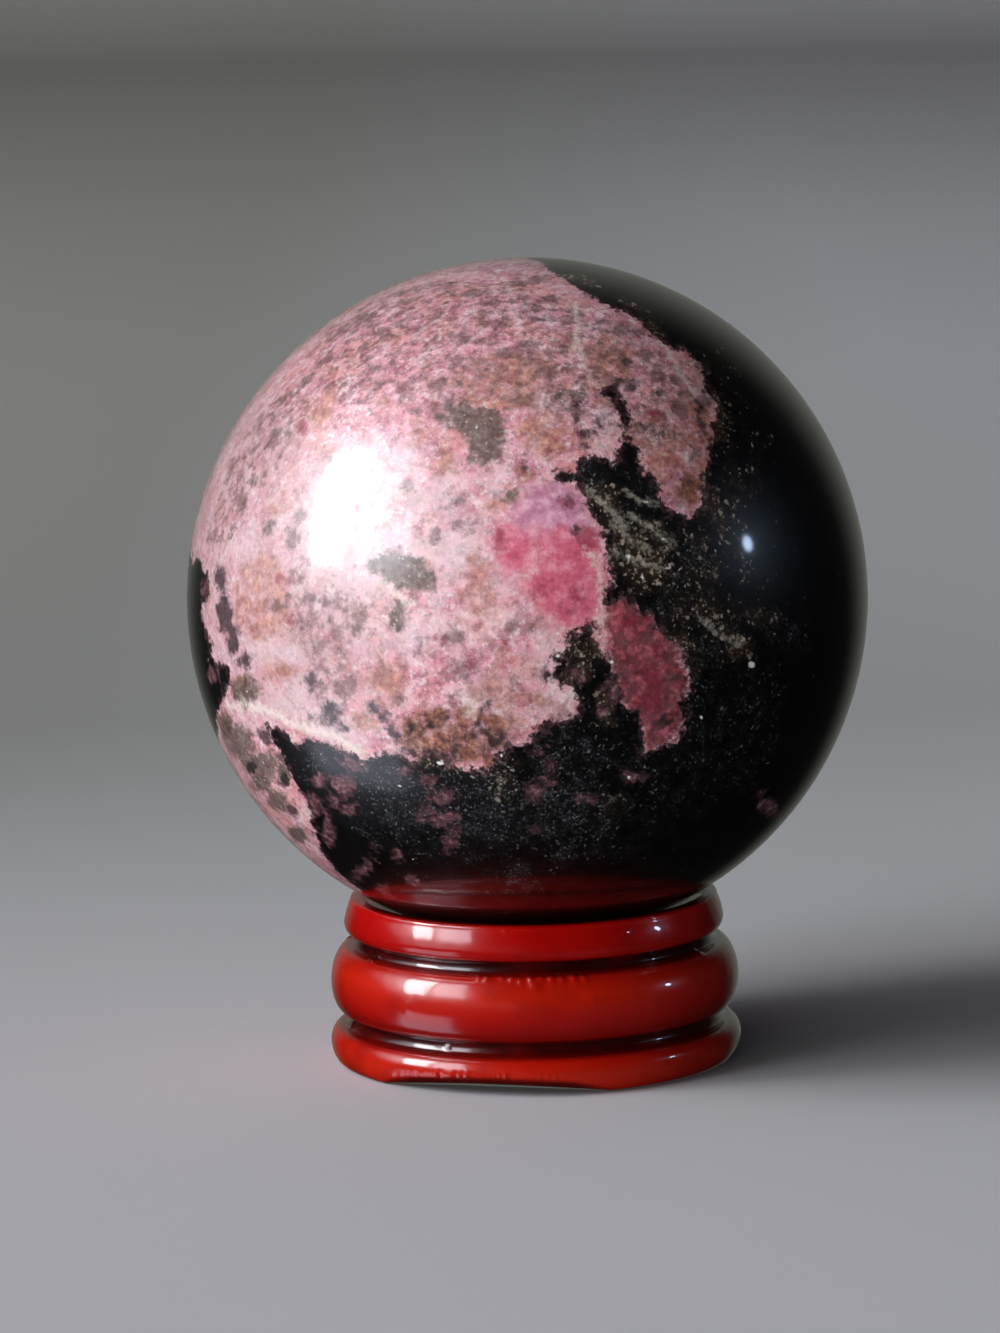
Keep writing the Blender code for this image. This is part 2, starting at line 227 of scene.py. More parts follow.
# Plum grey mottling: tiny grains of oxide in the pink
PLUM_SPOTS = [
    (12.1, 10.6, 0.5, 0.5), (13, 14.6, 0.5, 0.7), (11.6, 15.2, 0.5, 0.4), (-12.2, 20.5, 1.2, 0.5, 30),
    (-13.5, 19.7, 1.0, 0.3, 30), (-10.6, 19.5, 0.6, 0.5), (-12, 18.3, 0.5, 0.6), (-7.4, 17.1, 0.5, 0.3),
    (-6.6, 15.7, 0.8, 0.5), (-7, 20.7, 0.8, 0.4), (-4, 19, 1.6, 0.3, -5), (-5.5, 17.7, 0.6, 0.4),
    (-3.5, 20.8, 0.8, 0.4), (-3.8, 22.5, 1.2, 0.3), (-2.5, 21.7, 0.8, 0.3), (0.2, 21.3, 0.6, 0.9),
    (-0.1, 18.5, 0.8, 0.6), (2.2, 18.4, 0.9, 0.6), (1.4, 16.6, 0.9, 0.5), (0.8, 23.4, 0.8, 0.3),
    (-0.8, 23.2, 0.6, 0.3), (-18.6, 11.8, 0.5, 0.9, -30), (-17.8, 14.6, 0.8, 0.4, 40), (-17.4, 4.4, 0.5, 0.6),
    (-21, 7, 0.6, 0.8), (-23.2, 4.7, 0.3, 0.6), (-16.8, 6, 0.5, 0.5), (-15.9, -0.2, 0.6, 0.4),
    (-17, 1.5, 0.6, 0.6), (7, 17.3, 0.8, 0.6), (7, 19.7, 0.7, 0.5), (8.2, 19.6, 0.5, 0.3),
    (9.6, 16.3, 0.6, 0.5), (5.5, 20.3, 0.6, 0.3), (-14.4, -0.4, 0.6, 0.4), (-12.6, -1.2, 0.9, 0.8),
    (-14.1, -2.6, 0.4, 0.5), (-16.4, -2.4, 0.5, 0.5), (-15.6, -3.6, 0.6, 0.8), (-18.3, -0.5, 0.7, 0.4),
    (-13.7, -6.6, 0.8, 0.5), (-4.6, -5.2, 0.9, 0.7), (-5.6, -2.9, 0.7, 0.5), (-8.2, -4, 0.3, 0.2),
    (-9.7, -7.4, 0.4, 0.4), (-1.3, -2.1, 0.3, 0.3), (0.4, -2, 0.5, 0.4), (1.2, -5.6, 0.4, 0.4),
    (-0.8, -6.4, 0.3, 0.3), (2.6, -8.6, 0.7, 0.3), (-5.6, -7.4, 0.3, 0.3), (-8.8, 8.2, 0.5, 0.5),
    (-5.2, 7.2, 0.7, 0.4), (-4.6, 5.4, 0.8, 0.5), (-6.6, 4.6, 0.4, 0.4), (8.8, 17.9, 0.7, 0.4),
    (6.2, 14.4, 0.5, 0.4), (11.2, 13.9, 0.8, 0.6), (10.9, 16.6, 0.4, 0.6), (-9.3, 15.4, 0.5, 0.4),
    (-14.8, 17.6, 0.8, 0.3, 40), (-16.3, 16, 0.7, 0.3, 40), (-9.2, 21.6, 0.8, 0.3, 15),
    (-20.2, 11, 0.3, 0.7, -30), (-21.6, 9.6, 0.3, 0.7, -20), (-1.7, 20.1, 0.7, 0.3), (3.6, 20.6, 0.6, 0.4),
    (1.9, 21.9, 0.7, 0.3), (-14.9, 10.4, 0.3, 0.4), (-2, 18, 0.8, 0.3),
]
# Broad zones where the grains lie dense
UMBER_ZONES = [(-5.5, -10, 3.8, 1.7)]
RUST_ZONES = [
    (12.4, 11.5, 1.5, 4), (-1, 16, 4.5, 2), (1.2, 12.2, 1.8, 1.8), (-5.5, -10, 3.8, 1.8), (-19.8, 0, 1.8, 3),
    (11.5, 11, 2.4, 4), (-2.5, -8, 2, 2), (-3.5, 1, 1.5, 2), (6, 17, 1.6, 2.4), (-10.5, -6.2, 1.6, 1.6),
    (9, 12.5, 2.5, 1.2),
]
PLUM_ZONES = [
    (-4, 20, 12, 3.6, -5), (-12.5, 18, 3.4, 2.4, 40), (7, 17, 4, 2.8, -40), (-15, -1.5, 2.6, 2.2),
    (-19, 12, 1.6, 3.6, -35), (-7.5, 15.5, 2, 1.8), (1.5, 17.5, 2.6, 1.8), (-21.5, 8, 1, 4, -20),
    (-14.5, -6, 1.6, 2),
]
# The depth in mm at which grains are scarce, which is theirs everywhere
EVERYWHERE_MM = -0.55
# The most depth in mm that rust and plum grains have in their zones and in their spots
RUST_DEPTHS_MM = (0.1, 0.35)
PLUM_DEPTHS_MM = (-0.12, 0.25)

# The pink under a grey haze towards the left edge
DUSTY_ZONES = [(-21, 4, 5, 13)]

# Paler, milkier ground, and painted haze round the window's reflection, up and left of the middle
PALE_AND_HAZE_SPOTS = [
    (-6, 3.5, 4.5, 2.5), (-13, 1, 3.2, 2.4), (-8.5, -2.5, 4, 1.6), (-14, -9.6, 2.6, 0.9, -25),
    (-9, -10.6, 1, 1), (-3.6, -7.6, 1.4, 0.9), (-6.4, 7.5, 2, 1.6), (-18.6, -4, 2.2, 0.8),
    (-17.4, -7.6, 1.8, 1), (-20.8, 3.8, 1.4, 1), (6, 12, 0.9, 1.6), (1.9, -3.6, 0.9, 1.4),
    (2.6, -7.6, 1.2, 0.8), (-2.3, 1.2, 1.4, 0.9), (-2, -1.4, 1.2, 0.8), (-23.2, -4.3, 0.5, 0.6),
    (-22, -4.2, 0.8, 0.7), (-20.4, -9.6, 1, 0.7), (-15.9, -15.6, 0.9, 0.8), (-13.6, 5.4, 3, 3.4),
    (-11.5, 9.5, 2, 2), (1.4, 14.2, 0.8, 0.6), (-8.9, 10.4, 1.2, 1), (-2.6, 8.6, 0.8, 0.6),
]
CREAM_VEINS = [
    (0.3, (-22.3, -7.2), (-21.9, -8), (-20.6, -7.9), (-19.4, -8.2), (-18, -8.9), (-16.4, -9.5), (-15, -9.9),
     (-13.6, -10.5), (-12.2, -11.4)),
    (0.14, (4.3, 3.6), (4.9, 3), (5.3, 1.8), (5.55, 0.5), (5.6, -0.7), (5.2, -2.3)),
    (0.16, (9.8, 18.8), (10.6, 17.8), (11.3, 16.4), (12, 15.6), (12.5, 14.7)),
    (0.12, (3.5, 21.6), (3.7, 20), (3.6, 18.3), (4.1, 16.9)),
    (0.14, (-10.4, 1.1), (-9.4, 0.2), (-8.4, -0.5)),
    (0.1, (-0.1, 1.6), (0.5, 2.2), (0.9, 3)),
    (0.14, (1.9, -5.9), (1.7, -6.6), (1.2, -7.2)),
    (0.12, (-4.6, -7.2), (-4, -8), (-4.4, -8.6)),
    (0.1, (11.5, 10.2), (12, 10.6)),
    (0.2, (-16.4, -13.6), (-15.6, -14.7), (-14.9, -15.6), (-14.4, -16.8)),
]
FAR_DARK_VEINS = [
    (0.5, (-24, 6), (-19, 7.5), (-14.5, 5), (-11, 7), (-6, 4.5), (-3, 6)),
    (0.35, (-14.5, 5), (-13, 0.5), (-15.5, -4), (-12.5, -8), (-14, -13)),
    (0.3, (-6, 4.5), (-7.5, 10), (-5, 14), (-8, 19)),
    (0.4, (12, 5), (15.5, 2.5), (14.5, -3), (18, -6.5), (16, -12)),
    (0.25, (-19, 7.5), (-17, 12), (-13, 14.5), (-12, 18.5)),
]
FAR_CREAM_VEINS = [
    (0.25, (-20, -12), (-15, -9), (-10, -10.5), (-6, -8)),
    (0.18, (-16, 15), (-12, 11), (-9, 12), (-4, 9.5), (1, 11)),
    (0.2, (13, -14), (15, -9), (18, -7)),
]
GOLD_VEINS = [
    (0.45, (4.9, 7.8), (5.6, 7.1), (6.3, 6.2), (6.7, 5.4)),
    (0.2, (8.6, 5.6), (9.4, 5.1), (10.2, 4.2)),
    (0.4, (13.6, 14.9), (13.9, 13.5), (13.9, 12)),
    (0.5, (12.6, 9.4), (12.9, 8), (12.4, 6.9)),
    (0.5, (13.6, 7.6), (13.9, 6.2), (14.5, 4.9)),
    (0.5, (13.2, -0.2), (14, -1.2), (14.3, -2.3), (15, -3.2), (15.9, -3.6)),
    (0.4, (3.6, 23.6), (4.6, 23.2)),
    (0.3, (7.4, 21.9), (8.6, 20.7), (9.7, 19.5)),
]
GOLD_SPOTS = [
    (7.6, 3.6, 1.4, 1.5), (9, 2.2, 1.9, 1.2), (9.9, 3, 0.9, 1), (8.2, 1.4, 0.9, 0.7), (11.8, -1.2, 1.1, 0.7),
    (12.8, -0.9, 0.7, 0.8), (11.4, -3.4, 0.9, 1.3, 20), (11.9, -4.6, 0.4, 0.7), (3.8, -4.2, 0.8, 1.1),
    (5.6, -3.4, 0.6, 0.6), (5.9, -7.6, 0.5, 0.8), (3.4, -5.8, 0.7, 0.6), (13, 2, 1.2, 0.7),
    (14.4, 5.3, 0.4, 0.4), (17, -1.4, 0.8, 0.6), (-4.6, -12.5, 1.6, 0.5), (-2, -13.6, 0.7, 0.9),
    (-7.6, -12, 0.8, 0.4), (6.2, -15, 0.5, 0.5),
]
GOLD_ZONES = [
    (14, 6, 1.6, 2.8), (13.5, 0, 1.8, 2), (14.9, 9.8, 0.9, 1.6), (16, 12.5, 1.2, 1.8, 30),
    (15.3, 8, 1.3, 1.4), (14.2, 17.6, 1.2, 0.7, -40), (16.5, 0.4, 1.2, 1.4),
]
SILVER_SPOTS = [
    (-3, -15.4, 3.2, 2.8), (-1, -16.3, 2, 1.8), (-5.8, -14.2, 2.2, 1.8), (-9.5, -13.8, 2.6, 1.8),
    (2.6, -15.4, 3.4, 2.2), (-11.6, -13.4, 0.9, 1.2), (5, -17.2, 1.4, 0.7), (2.2, -16.2, 1.4, 0.8),
    (2, -12.2, 1.4, 1.4), (4.6, -11.4, 1.3, 1), (-9, -16.2, 1.6, 1.2), (-15.4, -12.4, 1, 1),
    (7, 5.6, 0.7, 1.1, -45), (8.6, 5.2, 1, 0.5, -35), (12, 3, 1, 0.8), (11, 1.4, 0.6, 0.6),
    (2.6, -18.6, 0.6, 0.5), (-0.6, -20.6, 1.2, 0.7), (12.9, -2.9, 0.5, 0.4), (14, -3.3, 0.4, 0.3),
    (10, -1, 0.9, 0.5), (4.6, 8.9, 0.8, 0.7), (19.3, -2.7, 0.4, 0.4), (2.4, -10.3, 1, 0.6),
]
# Broad zones of thin dust, and the depth in mm that makes it thin
SILVER_ZONES = [(14, -9, 4.5, 5), (-5, -15, 9, 4), (4, -14, 8, 5), (8, 6, 3, 2, -40)]
THIN_DUST_MM = -0.6
# Feathery grey streaks in the black beside the rose
STREAK_VEINS = [
    (0.2, (4.4, 7.9), (5.8, 6.7), (7.1, 5.4)),
    (0.16, (7.5, 6.1), (9, 5.2), (10.6, 4)),
    (0.16, (6.4, 3.3), (8.2, 2.6), (9.9, 2.3)),
    (0.14, (6.2, 5.4), (7.6, 4.3), (9.2, 3.4)),
    (0.14, (7.2, 8), (8, 7.2), (9.4, 6.9)),
    (0.12, (12.6, -1.2), (14, -2.6), (15.6, -3.4)),
]
# Single bright flecks of mica and quartz
WHITE_FLECKS = [
    (8.7, 7, 0.2, 0.14, 20), (16.5, -4.9, 0.26, 0.24), (2.3, -2.6, 0.16, 0.14), (-4, -4.4, 0.14, 0.12),
    (8.4, 1.6, 0.16, 0.24), (10.4, 2.3, 0.28, 0.16, 45), (5.1, -0.9, 0.1, 0.3), (10, 4.3, 0.2, 0.12),
    (-1.9, -11.6, 0.12, 0.12), (-9.4, -13.8, 0.14, 0.08), (7.5, -13.2, 0.14, 0.14),
    (-8.3, -19.2, 0.16, 0.07, 20), (6.2, -4.7, 0.3, 0.14, 40), (2.3, -4.2, 0.3, 0.14, 30),
    (-2.4, 13.3, 0.1, 0.1), (-3.7, 12.6, 0.1, 0.12), (-3, 10.8, 0.1, 0.1), (0.2, -12.1, 0.1, 0.12),
    (4.6, -11.3, 0.1, 0.1), (12.8, -8.8, 0.12, 0.12), (-13.9, -13.7, 0.1, 0.1), (8.7, 4.3, 0.14, 0.12),
    (7.4, 3, 0.24, 0.2), (-0.6, -7.4, 0.2, 0.14), (-6.4, -12.1, 0.3, 0.2),
]

# How far the edge of the pink wanders, in mm, and the size of the clouds that it follows, in front and behind
BORDER_WANDER_MM = 0.45
BORDER_CLOUDS_MM = 2.2
FAR_WANDER_MM = 1.3
FAR_CLOUDS_MM = 9
# How far the dark red lobe reaches past its outline, in mm
LOBE_GROWTH_MM = 0.4
# The share of the far side over which spots are strewn
STREWN_SHARE = 0.93


def unit(vectors):
    return vectors / np.linalg.norm(vectors, axis=-1, keepdims=True)


def seen_at(places):
    """Directions from the ball's centre to the points that the camera sees at these places."""
    flat = np.array(places, float) * MM
    ahead = np.column_stack((flat, np.zeros(len(flat)))) - EYE
    length = (ahead**2).sum(1)
    facing = ahead @ EYE
    reach = facing**2 - length * (EYE @ EYE - BALL_RADIUS**2)
    step = (-facing - np.sqrt(np.maximum(reach, 0))) / length
    return unit((EYE + step[:, None] * ahead) @ VIEW_AXES)


def far_side(places):
    """Directions to points on the far side, at these places as if seen through the ball."""
    flat = np.array(places, float)
    depth = np.sqrt(np.maximum(BALL_RADIUS_MM**2 - (flat**2).sum(1), 0))
    return unit(np.column_stack((flat, -depth)) @ VIEW_AXES)


def fine_line(corners):
    """The same line round the ball with a point at least every SPAN_MM."""
    points = []
    for start, end in zip(corners[:-1], corners[1:]):
        steps = max(1, math.ceil(np.linalg.norm(end - start) * BALL_RADIUS_MM / SPAN_MM))
        points += [start + (end - start) * i / steps for i in range(steps)]
    return unit(np.array([*points, corners[-1]]))


def near(points, middle, reach):
    """The numbers of the points that lie within so many mm of the middle one."""
    return np.flatnonzero(points @ middle > math.cos(reach / BALL_RADIUS_MM))


def distance_to(line, points):
    """Distance in mm from each point to a line on the ball, up to FAR_MM."""
    nearest = np.full(len(points), FAR_MM)
    for start, end in zip(line[:-1], line[1:]):
        close = near(points, start, FAR_MM + SPAN_MM)
        run = end - start
        along = np.clip((points[close] - start) @ run / (run @ run), 0, 1)
        gap = np.linalg.norm(points[close] - start - along[:, None] * run, axis=1) * BALL_RADIUS_MM
        nearest[close] = np.minimum(nearest[close], gap)
    return nearest


def charted(points, middle):
    """A flat map of directions that keeps their angle and bearing from the middle one."""
    side = unit(np.cross(middle, (0, 0, 1)))
    flat = np.column_stack((points @ side, points @ np.cross(side, middle)))
    angle = np.arccos(np.clip(points @ middle, -1, 1))
    return flat * (angle / np.maximum(np.linalg.norm(flat, axis=1), 1e-9))[:, None]


def area(points, seen=(), far=()):
    """How deep in mm each point lies inside a closed outline, and below 0 outside it."""
    corners = np.vstack([side(places) for side, places in ((seen_at, seen), (far_side, far)) if places])
    line = fine_line(np.vstack((corners, corners[:1])))
    middle = unit(line.mean(0))
    x, y = charted(points, middle).T
    inside = np.zeros(len(points), bool)
    flat = charted(line, middle)
    for (x0, y0), (x1, y1) in zip(flat[:-1], flat[1:]):
        if y0 != y1:
            inside ^= ((y0 > y) != (y1 > y)) & (x < x0 + (y - y0) * (x1 - x0) / (y1 - y0))
    return np.where(inside, 1, -1) * distance_to(line, points)


def spot(points, side, x, y, wide, tall, lean=0):
    """How deep in mm each point lies inside an oval spot."""
    across = np.array((math.cos(math.radians(lean)), math.sin(math.radians(lean))))
    upwards = np.array((-across[1], across[0]))
    centre = np.array((x, y))
    arms = np.array((wide * across, -wide * across, tall * upwards, -tall * upwards))
    middle, right, left, top, bottom = side([centre, *(centre + arms)])
    axes = np.array((right - left, top - bottom)) / 2
    depth = np.full(len(points), -FAR_MM)
    close = near(points, middle, FAR_MM + max(wide, tall))
    reach = np.linalg.norm((points[close] - middle) @ np.linalg.pinv(axes), axis=1)
    depth[close] = (1 - reach) * min(np.linalg.norm(axes, axis=1)) * BALL_RADIUS_MM
    return depth


def marks(points, spots=(), veins=(), side=seen_at):
    """How deep in mm each point lies inside any of these spots and veins."""
    depth = np.full(len(points), -FAR_MM)
    for oval in spots:
        depth = np.maximum(depth, spot(points, side, *oval))
    for half_width, *route in veins:
        depth = np.maximum(depth, half_width - distance_to(fine_line(side(route)), points))
    return depth


def strewn(seed, count, small, large):
    """Ovals strewn over the far side, where the camera doesn't look."""
    draw = np.random.default_rng(seed)
    spots = []
    for _ in range(count):
        turn = draw.uniform(0, math.tau)
        out = BALL_RADIUS_MM * math.sqrt(draw.uniform(0, STREWN_SHARE))
        wide, tall = draw.uniform(small, large, 2)
        spots.append((out * math.cos(turn), out * math.sin(turn), wide, tall, draw.uniform(0, 180)))
    return spots


def turbulence(points, size):
    """Cloudy noise from about -1 to 1, with its largest clouds of the given size in mm."""
    scale = BALL_RADIUS_MM / size
    return np.array([noise.fractal(Vector(p * scale), 0.6, 2.0, 4) for p in points])


def pink_depth(points):
    """Depth inside the pink, which is below 0 in the black."""
    depth = area(points, PINK_FACE, PINK_FAR)
    depth = np.maximum(depth, area(points, far=PINK_SECOND_FAR))
    depth = np.maximum(depth, area(points, far=PINK_THIRD_FAR))
    depth = np.minimum(depth, -area(points, BLACK_LEFT, BLACK_LEFT_FAR))
    hidden = np.clip(points @ -np.array(BACKWARDS) + 0.1, 0, 1) ** 0.5
    far_wander = FAR_WANDER_MM * hidden * turbulence(points, FAR_CLOUDS_MM)
    return depth + (far_wander + BORDER_WANDER_MM * turbulence(points, BORDER_CLOUDS_MM))


def thinned(points, zones, spots, far_spots, in_zones, in_spots):
    """Depths for grains that are strewn everywhere, lie denser in the zones and join up in the spots."""
    scattered = np.maximum(marks(points, zones), marks(points, far_spots, side=far_side))
    joined = np.minimum(marks(points, spots), in_spots)
    return np.maximum(np.clip(scattered, EVERYWHERE_MM, in_zones), joined)


def all_round(points, spots=(), far_spots=(), veins=(), far_veins=(), areas=(), dust=()):
    """Depths for spots, veins and areas in front, spots and veins on the far side, and zones of thin dust."""
    return np.maximum.reduce([
        marks(points, spots, veins),
        marks(points, far_spots, far_veins, far_side),
        np.minimum(marks(points, dust), THIN_DUST_MM),
        *(area(points, outline) for outline in areas),
    ])


def mineral_depths(points):
    """The depth of each point in mm inside each mineral's areas."""
    lobe = area(points, ROSE_LOBE) + LOBE_GROWTH_MM
    return {
        "pink": pink_depth(points),
        "island": all_round(points, ISLAND_SPOTS, strewn(12, 16, 0.2, 0.8)),
        "dark": all_round(points, DARK_SPOTS, strewn(11, 26, 0.3, 1.1), DARK_VEINS, FAR_DARK_VEINS),
        "rose": all_round(points, ROSE_SPOTS, strewn(21, 9, 1.2, 3.2), areas=[ROSE_LEFT, ROSE_RIGHT]),
        "lilac": all_round(points, (), strewn(30, 6, 1, 2.4), areas=[ROSE_TOP]),
        "lobe": np.maximum(lobe, all_round(points, (), strewn(31, 4, 1.2, 2.4))),
        "crimson": all_round(points, CRIMSON_SPOTS, strewn(22, 14, 0.4, 0.9)),
        "olive": all_round(points, OLIVE_SPOTS, strewn(23, 10, 0.6, 1.6), areas=[OLIVE_UPPER, OLIVE_LOWER]),
        "rust": thinned(points, RUST_ZONES, RUST_SPOTS, strewn(24, 40, 0.4, 1.4), *RUST_DEPTHS_MM),
        "umber": np.maximum(np.minimum(marks(points, UMBER_ZONES), 0), marks(points, UMBER_SPOTS)),
        "plum": thinned(points, PLUM_ZONES, PLUM_SPOTS, strewn(25, 90, 0.3, 1), *PLUM_DEPTHS_MM),
        "dusty": marks(points, DUSTY_ZONES),
        "pale_and_haze": all_round(points, PALE_AND_HAZE_SPOTS, strewn(26, 16, 1, 3.5)),
        "cream": all_round(points, veins=CREAM_VEINS, far_veins=FAR_CREAM_VEINS),
        "gold": all_round(points, GOLD_SPOTS, strewn(27, 14, 0.8, 2.4), GOLD_VEINS, dust=GOLD_ZONES),
        "silver": all_round(points, SILVER_SPOTS, strewn(28, 14, 0.8, 2.4), dust=SILVER_ZONES),
        "streak": marks(points, veins=STREAK_VEINS),
        "fleck": all_round(points, WHITE_FLECKS, strewn(29, 14, 0.1, 0.25)),
    }


def select_only(obj):
    bpy.ops.object.select_all(action="DESELECT")
    obj.select_set(True)
    bpy.context.view_layer.objects.active = obj


def apply_modifiers(obj):
    for name in [modifier.name for modifier in obj.modifiers]:
        bpy.ops.object.modifier_apply(modifier=name)


def mesh_points(obj):
    """The places of a mesh's points, one to a row."""
    places = np.empty(len(obj.data.vertices) * 3)
    obj.data.vertices.foreach_get("co", places)
    return places.reshape(-1, 3)


def ground_ball():
    """A cube ground round, as a lapidary does it, with its minerals' areas as attributes."""
    bpy.ops.object.select_all(action="DESELECT")
    bpy.ops.mesh.primitive_cube_add(size=2 * BALL_RADIUS)
    ball = bpy.context.object
    ball.name = "polished_ball"
    select_only(ball)
    rounding = ball.modifiers.new("Rounding", "SUBSURF")
    rounding.levels = BALL_LEVELS
    rounding.render_levels = BALL_LEVELS
    lap = ball.modifiers.new("Lap", "CAST")
    lap.factor = 1
    lap.size = BALL_RADIUS
    apply_modifiers(ball)
    directions = unit(mesh_points(ball))
    ball.data.vertices.foreach_set("co", (BALL_CENTRE + BALL_RADIUS * directions).ravel())
    bpy.ops.object.shade_smooth()
    for name, depth in mineral_depths(directions).items():
        layer = ball.data.attributes.new(name, "FLOAT", "POINT")
        layer.data.foreach_set("value", depth.astype(np.float32))
    ball.data.update()
    return ball


# The stand's section in mm: each turned form's largest radius and its heights, as in the solid
SECTION_MM = {
    "seat_gap": 0.3, "bore": 8.5,
    "rim": 13.6, "collar_top": 12.3, "rim_round": 0.35, "collar": 14.05, "collar_widest": 10.4,
    "collar_lip": 9.65, "lip_round": 0.5, "upper_cove": 13.2, "upper_cove_height": 9.3,
    "bead_top_radius": 13.6, "bead_top": 8.7, "bead": 15.1, "bead_middle": 5.95,
    "bead_foot_radius": 14.0, "bead_foot": 3.75,
    "lower_cove": 13.7, "lower_cove_height": 3.6,
    "flange": 15.2, "flange_middle": 1.6, "flange_shoulder": 14.15, "flange_top": 2.8, "contact": 14.3,
}
# How far the collar's side swells out between its rim and its widest circle
COLLAR_SWELL_MM = 0.05
# The cuts under the flange slope up and outwards from a straight line across the base
ARCH_AZIMUTHS = [math.radians(-104 + turn) for turn in (0, 120, 240)]
ARCH_CHORD_MM = 11.45
ARCH_HEIGHT_MM = 1.1
# The lacquer lies round and thick along the arches' edges and thinner along the feet
ARCH_ROUND_MM = 0.95
FOOT_ROUND_MM = 0.3
# From this height of the cut, in mm, the edge is fully an arch's
FULL_ARCH_MM = 0.35
# Where on the rounded edge the beads stand, from 0 at its foot to 1 at its top, and how far they spread
BEAD_LINE = 0.85
BEAD_SPREAD = 0.25
# Over this share of the rounded edge, below its beads, painted shade turns the lacquer from bright to dark
SHADING_SPREAD = 0.3
# How often the place where the cut meets the flange is tried, closer each time
ARCH_TRIALS = 12
TINY_MM = 0.001
STAND_STEPS = 640
ARC_STEPS = 14
# Sharper edges than this, in degrees, stay sharp
SMOOTH_UP_TO = 50


def quarter(start, end, steps=ARC_STEPS, level_first=True):
    """Points on a quarter of an ellipse that sets out level and arrives upright, or the other way round."""
    points = []
    for i in range(steps + 1):
        turn = math.pi / 2 * i / steps
        across, down = math.sin(turn), 1 - math.cos(turn)
        if not level_first:
            across, down = down, across
        points.append((start[0] + (end[0] - start[0]) * across, start[1] + (end[1] - start[1]) * down))
    return points


def stand_section():
    """The closed section (r, z) in mm, from the rim down the outer side and up through the bore."""
    m = SECTION_MM
    rim_end = (m["rim"], m["collar_top"] - m["rim_round"])
    points = quarter((m["rim"] - m["rim_round"], m["collar_top"]), rim_end, 8)
    for i in range(1, 10):
        swell = COLLAR_SWELL_MM * math.sin(math.pi * i / 10)
        height = rim_end[1] + (m["collar_widest"] - rim_end[1]) * i / 10
        points.append((m["rim"] + (m["collar"] - m["rim"]) * i / 10 + swell, height))
    lip = (m["collar"] - m["lip_round"], m["collar_lip"])
    points += quarter((m["collar"], m["collar_widest"]), lip, 10, False)
    points += quarter((lip[0] - 0.1, lip[1] - 0.03), (m["upper_cove"], m["upper_cove_height"]), 5)
    bead_top = (m["bead_top_radius"], m["bead_top"])
    points += quarter((m["upper_cove"] + 0.02, m["upper_cove_height"] - 0.1), bead_top, 6, False)[:-1]
    points += quarter(bead_top, (m["bead"], m["bead_middle"]))
    foot = (m["bead_foot_radius"], m["bead_foot"])
    points += quarter((m["bead"], m["bead_middle"]), foot, level_first=False)[1:]
    points += quarter((foot[0] - 0.06, foot[1] - 0.02), (m["lower_cove"], m["lower_cove_height"]), 4)
    shoulder = (m["flange_shoulder"], m["flange_top"])
    points += quarter((m["lower_cove"] + 0.01, m["lower_cove_height"] - 0.1), shoulder, 8, False)[:-1]
    points += quarter(shoulder, (m["flange"], m["flange_middle"]), 12)
    points += quarter((m["flange"], m["flange_middle"]), (m["contact"], 0), 12, False)[1:]
    points += [(m["contact"] - 0.14 * i, 0) for i in range(1, 23)] + [(10.4, 0), (9.6, 0), (8.9, 0)]
    points += [(m["bore"], 1.7 * i) for i in range(1, 6)]
    reach = BALL_RADIUS_MM + m["seat_gap"]
    centre = BALL_CENTRE[2] / MM
    edge = math.sqrt(reach**2 - (centre - m["collar_top"]) ** 2)
    for i in range(8):
        radius = m["bore"] + (edge - m["bore"]) * i / 7
        points.append((radius, centre - math.sqrt(reach**2 - radius**2)))
    return points


# The lacquer's runs where it gathered wet: azimuth in degrees, height, spread and rise in mm
LACQUER_BEADS = [
    (-107, 8.6, 0.2, 0.13), (-104.5, 8.55, 0.22, 0.13), (-100, 8.6, 0.2, 0.13), (-97, 8.55, 0.26, 0.18),
    (-94.4, 8.4, 0.25, 0.16), (-91.5, 8.55, 0.28, 0.22), (-90.4, 8.1, 0.35, 0.16), (-88.6, 8.5, 0.26, 0.2),
    (-85.5, 8.5, 0.32, 0.26), (-82.5, 8.45, 0.28, 0.22), (-79, 8.5, 0.3, 0.24), (-76, 8.45, 0.24, 0.2),
    (-62, 11.4, 0.3, 0.1), (-99, 11.9, 0.14, 0.06), (-128, 6.1, 0.5, 0.06), (-56, 6.0, 0.6, 0.06),
    (-74, 6.9, 0.3, 0.06), (30, 8.7, 0.4, 0.2), (75, 8.7, 0.35, 0.18), (140, 8.7, 0.45, 0.2),
    (171, 8.65, 0.3, 0.14), (-150, 8.7, 0.35, 0.16), (-30, 8.7, 0.4, 0.18), (8, 3.2, 0.3, 0.14),
    (110, 3.1, 0.3, 0.14), (-70, 3.1, 0.3, 0.1), (-118, 3.2, 0.25, 0.08), (-168, 3.1, 0.3, 0.14),
]
# The beads along the arches' edges
EDGE_BEAD_PITCH_MM = 0.66
EDGE_BEAD_RISE_MM = 0.08
# The lacquer's unevenness: the size of its waves and how high they stand, in mm
LACQUER_WAVES_MM = [(3.5, 0.02), (0.9, 0.008)]


def flange_radius(height):
    """The flange's outer radius at each height, in mm."""
    m = SECTION_MM
    upper = np.clip(1 - (m["flange_top"] - height) / (m["flange_top"] - m["flange_middle"]), 0, 1)
    lower = np.clip(1 - height / m["flange_middle"], 0, 1)
    above = m["flange_shoulder"] + (m["flange"] - m["flange_shoulder"]) * np.sqrt(1 - upper**2)
    below = m["flange"] - (m["flange"] - m["contact"]) * (1 - np.sqrt(1 - lower**2))
    return np.where(height > m["flange_middle"], above, below)


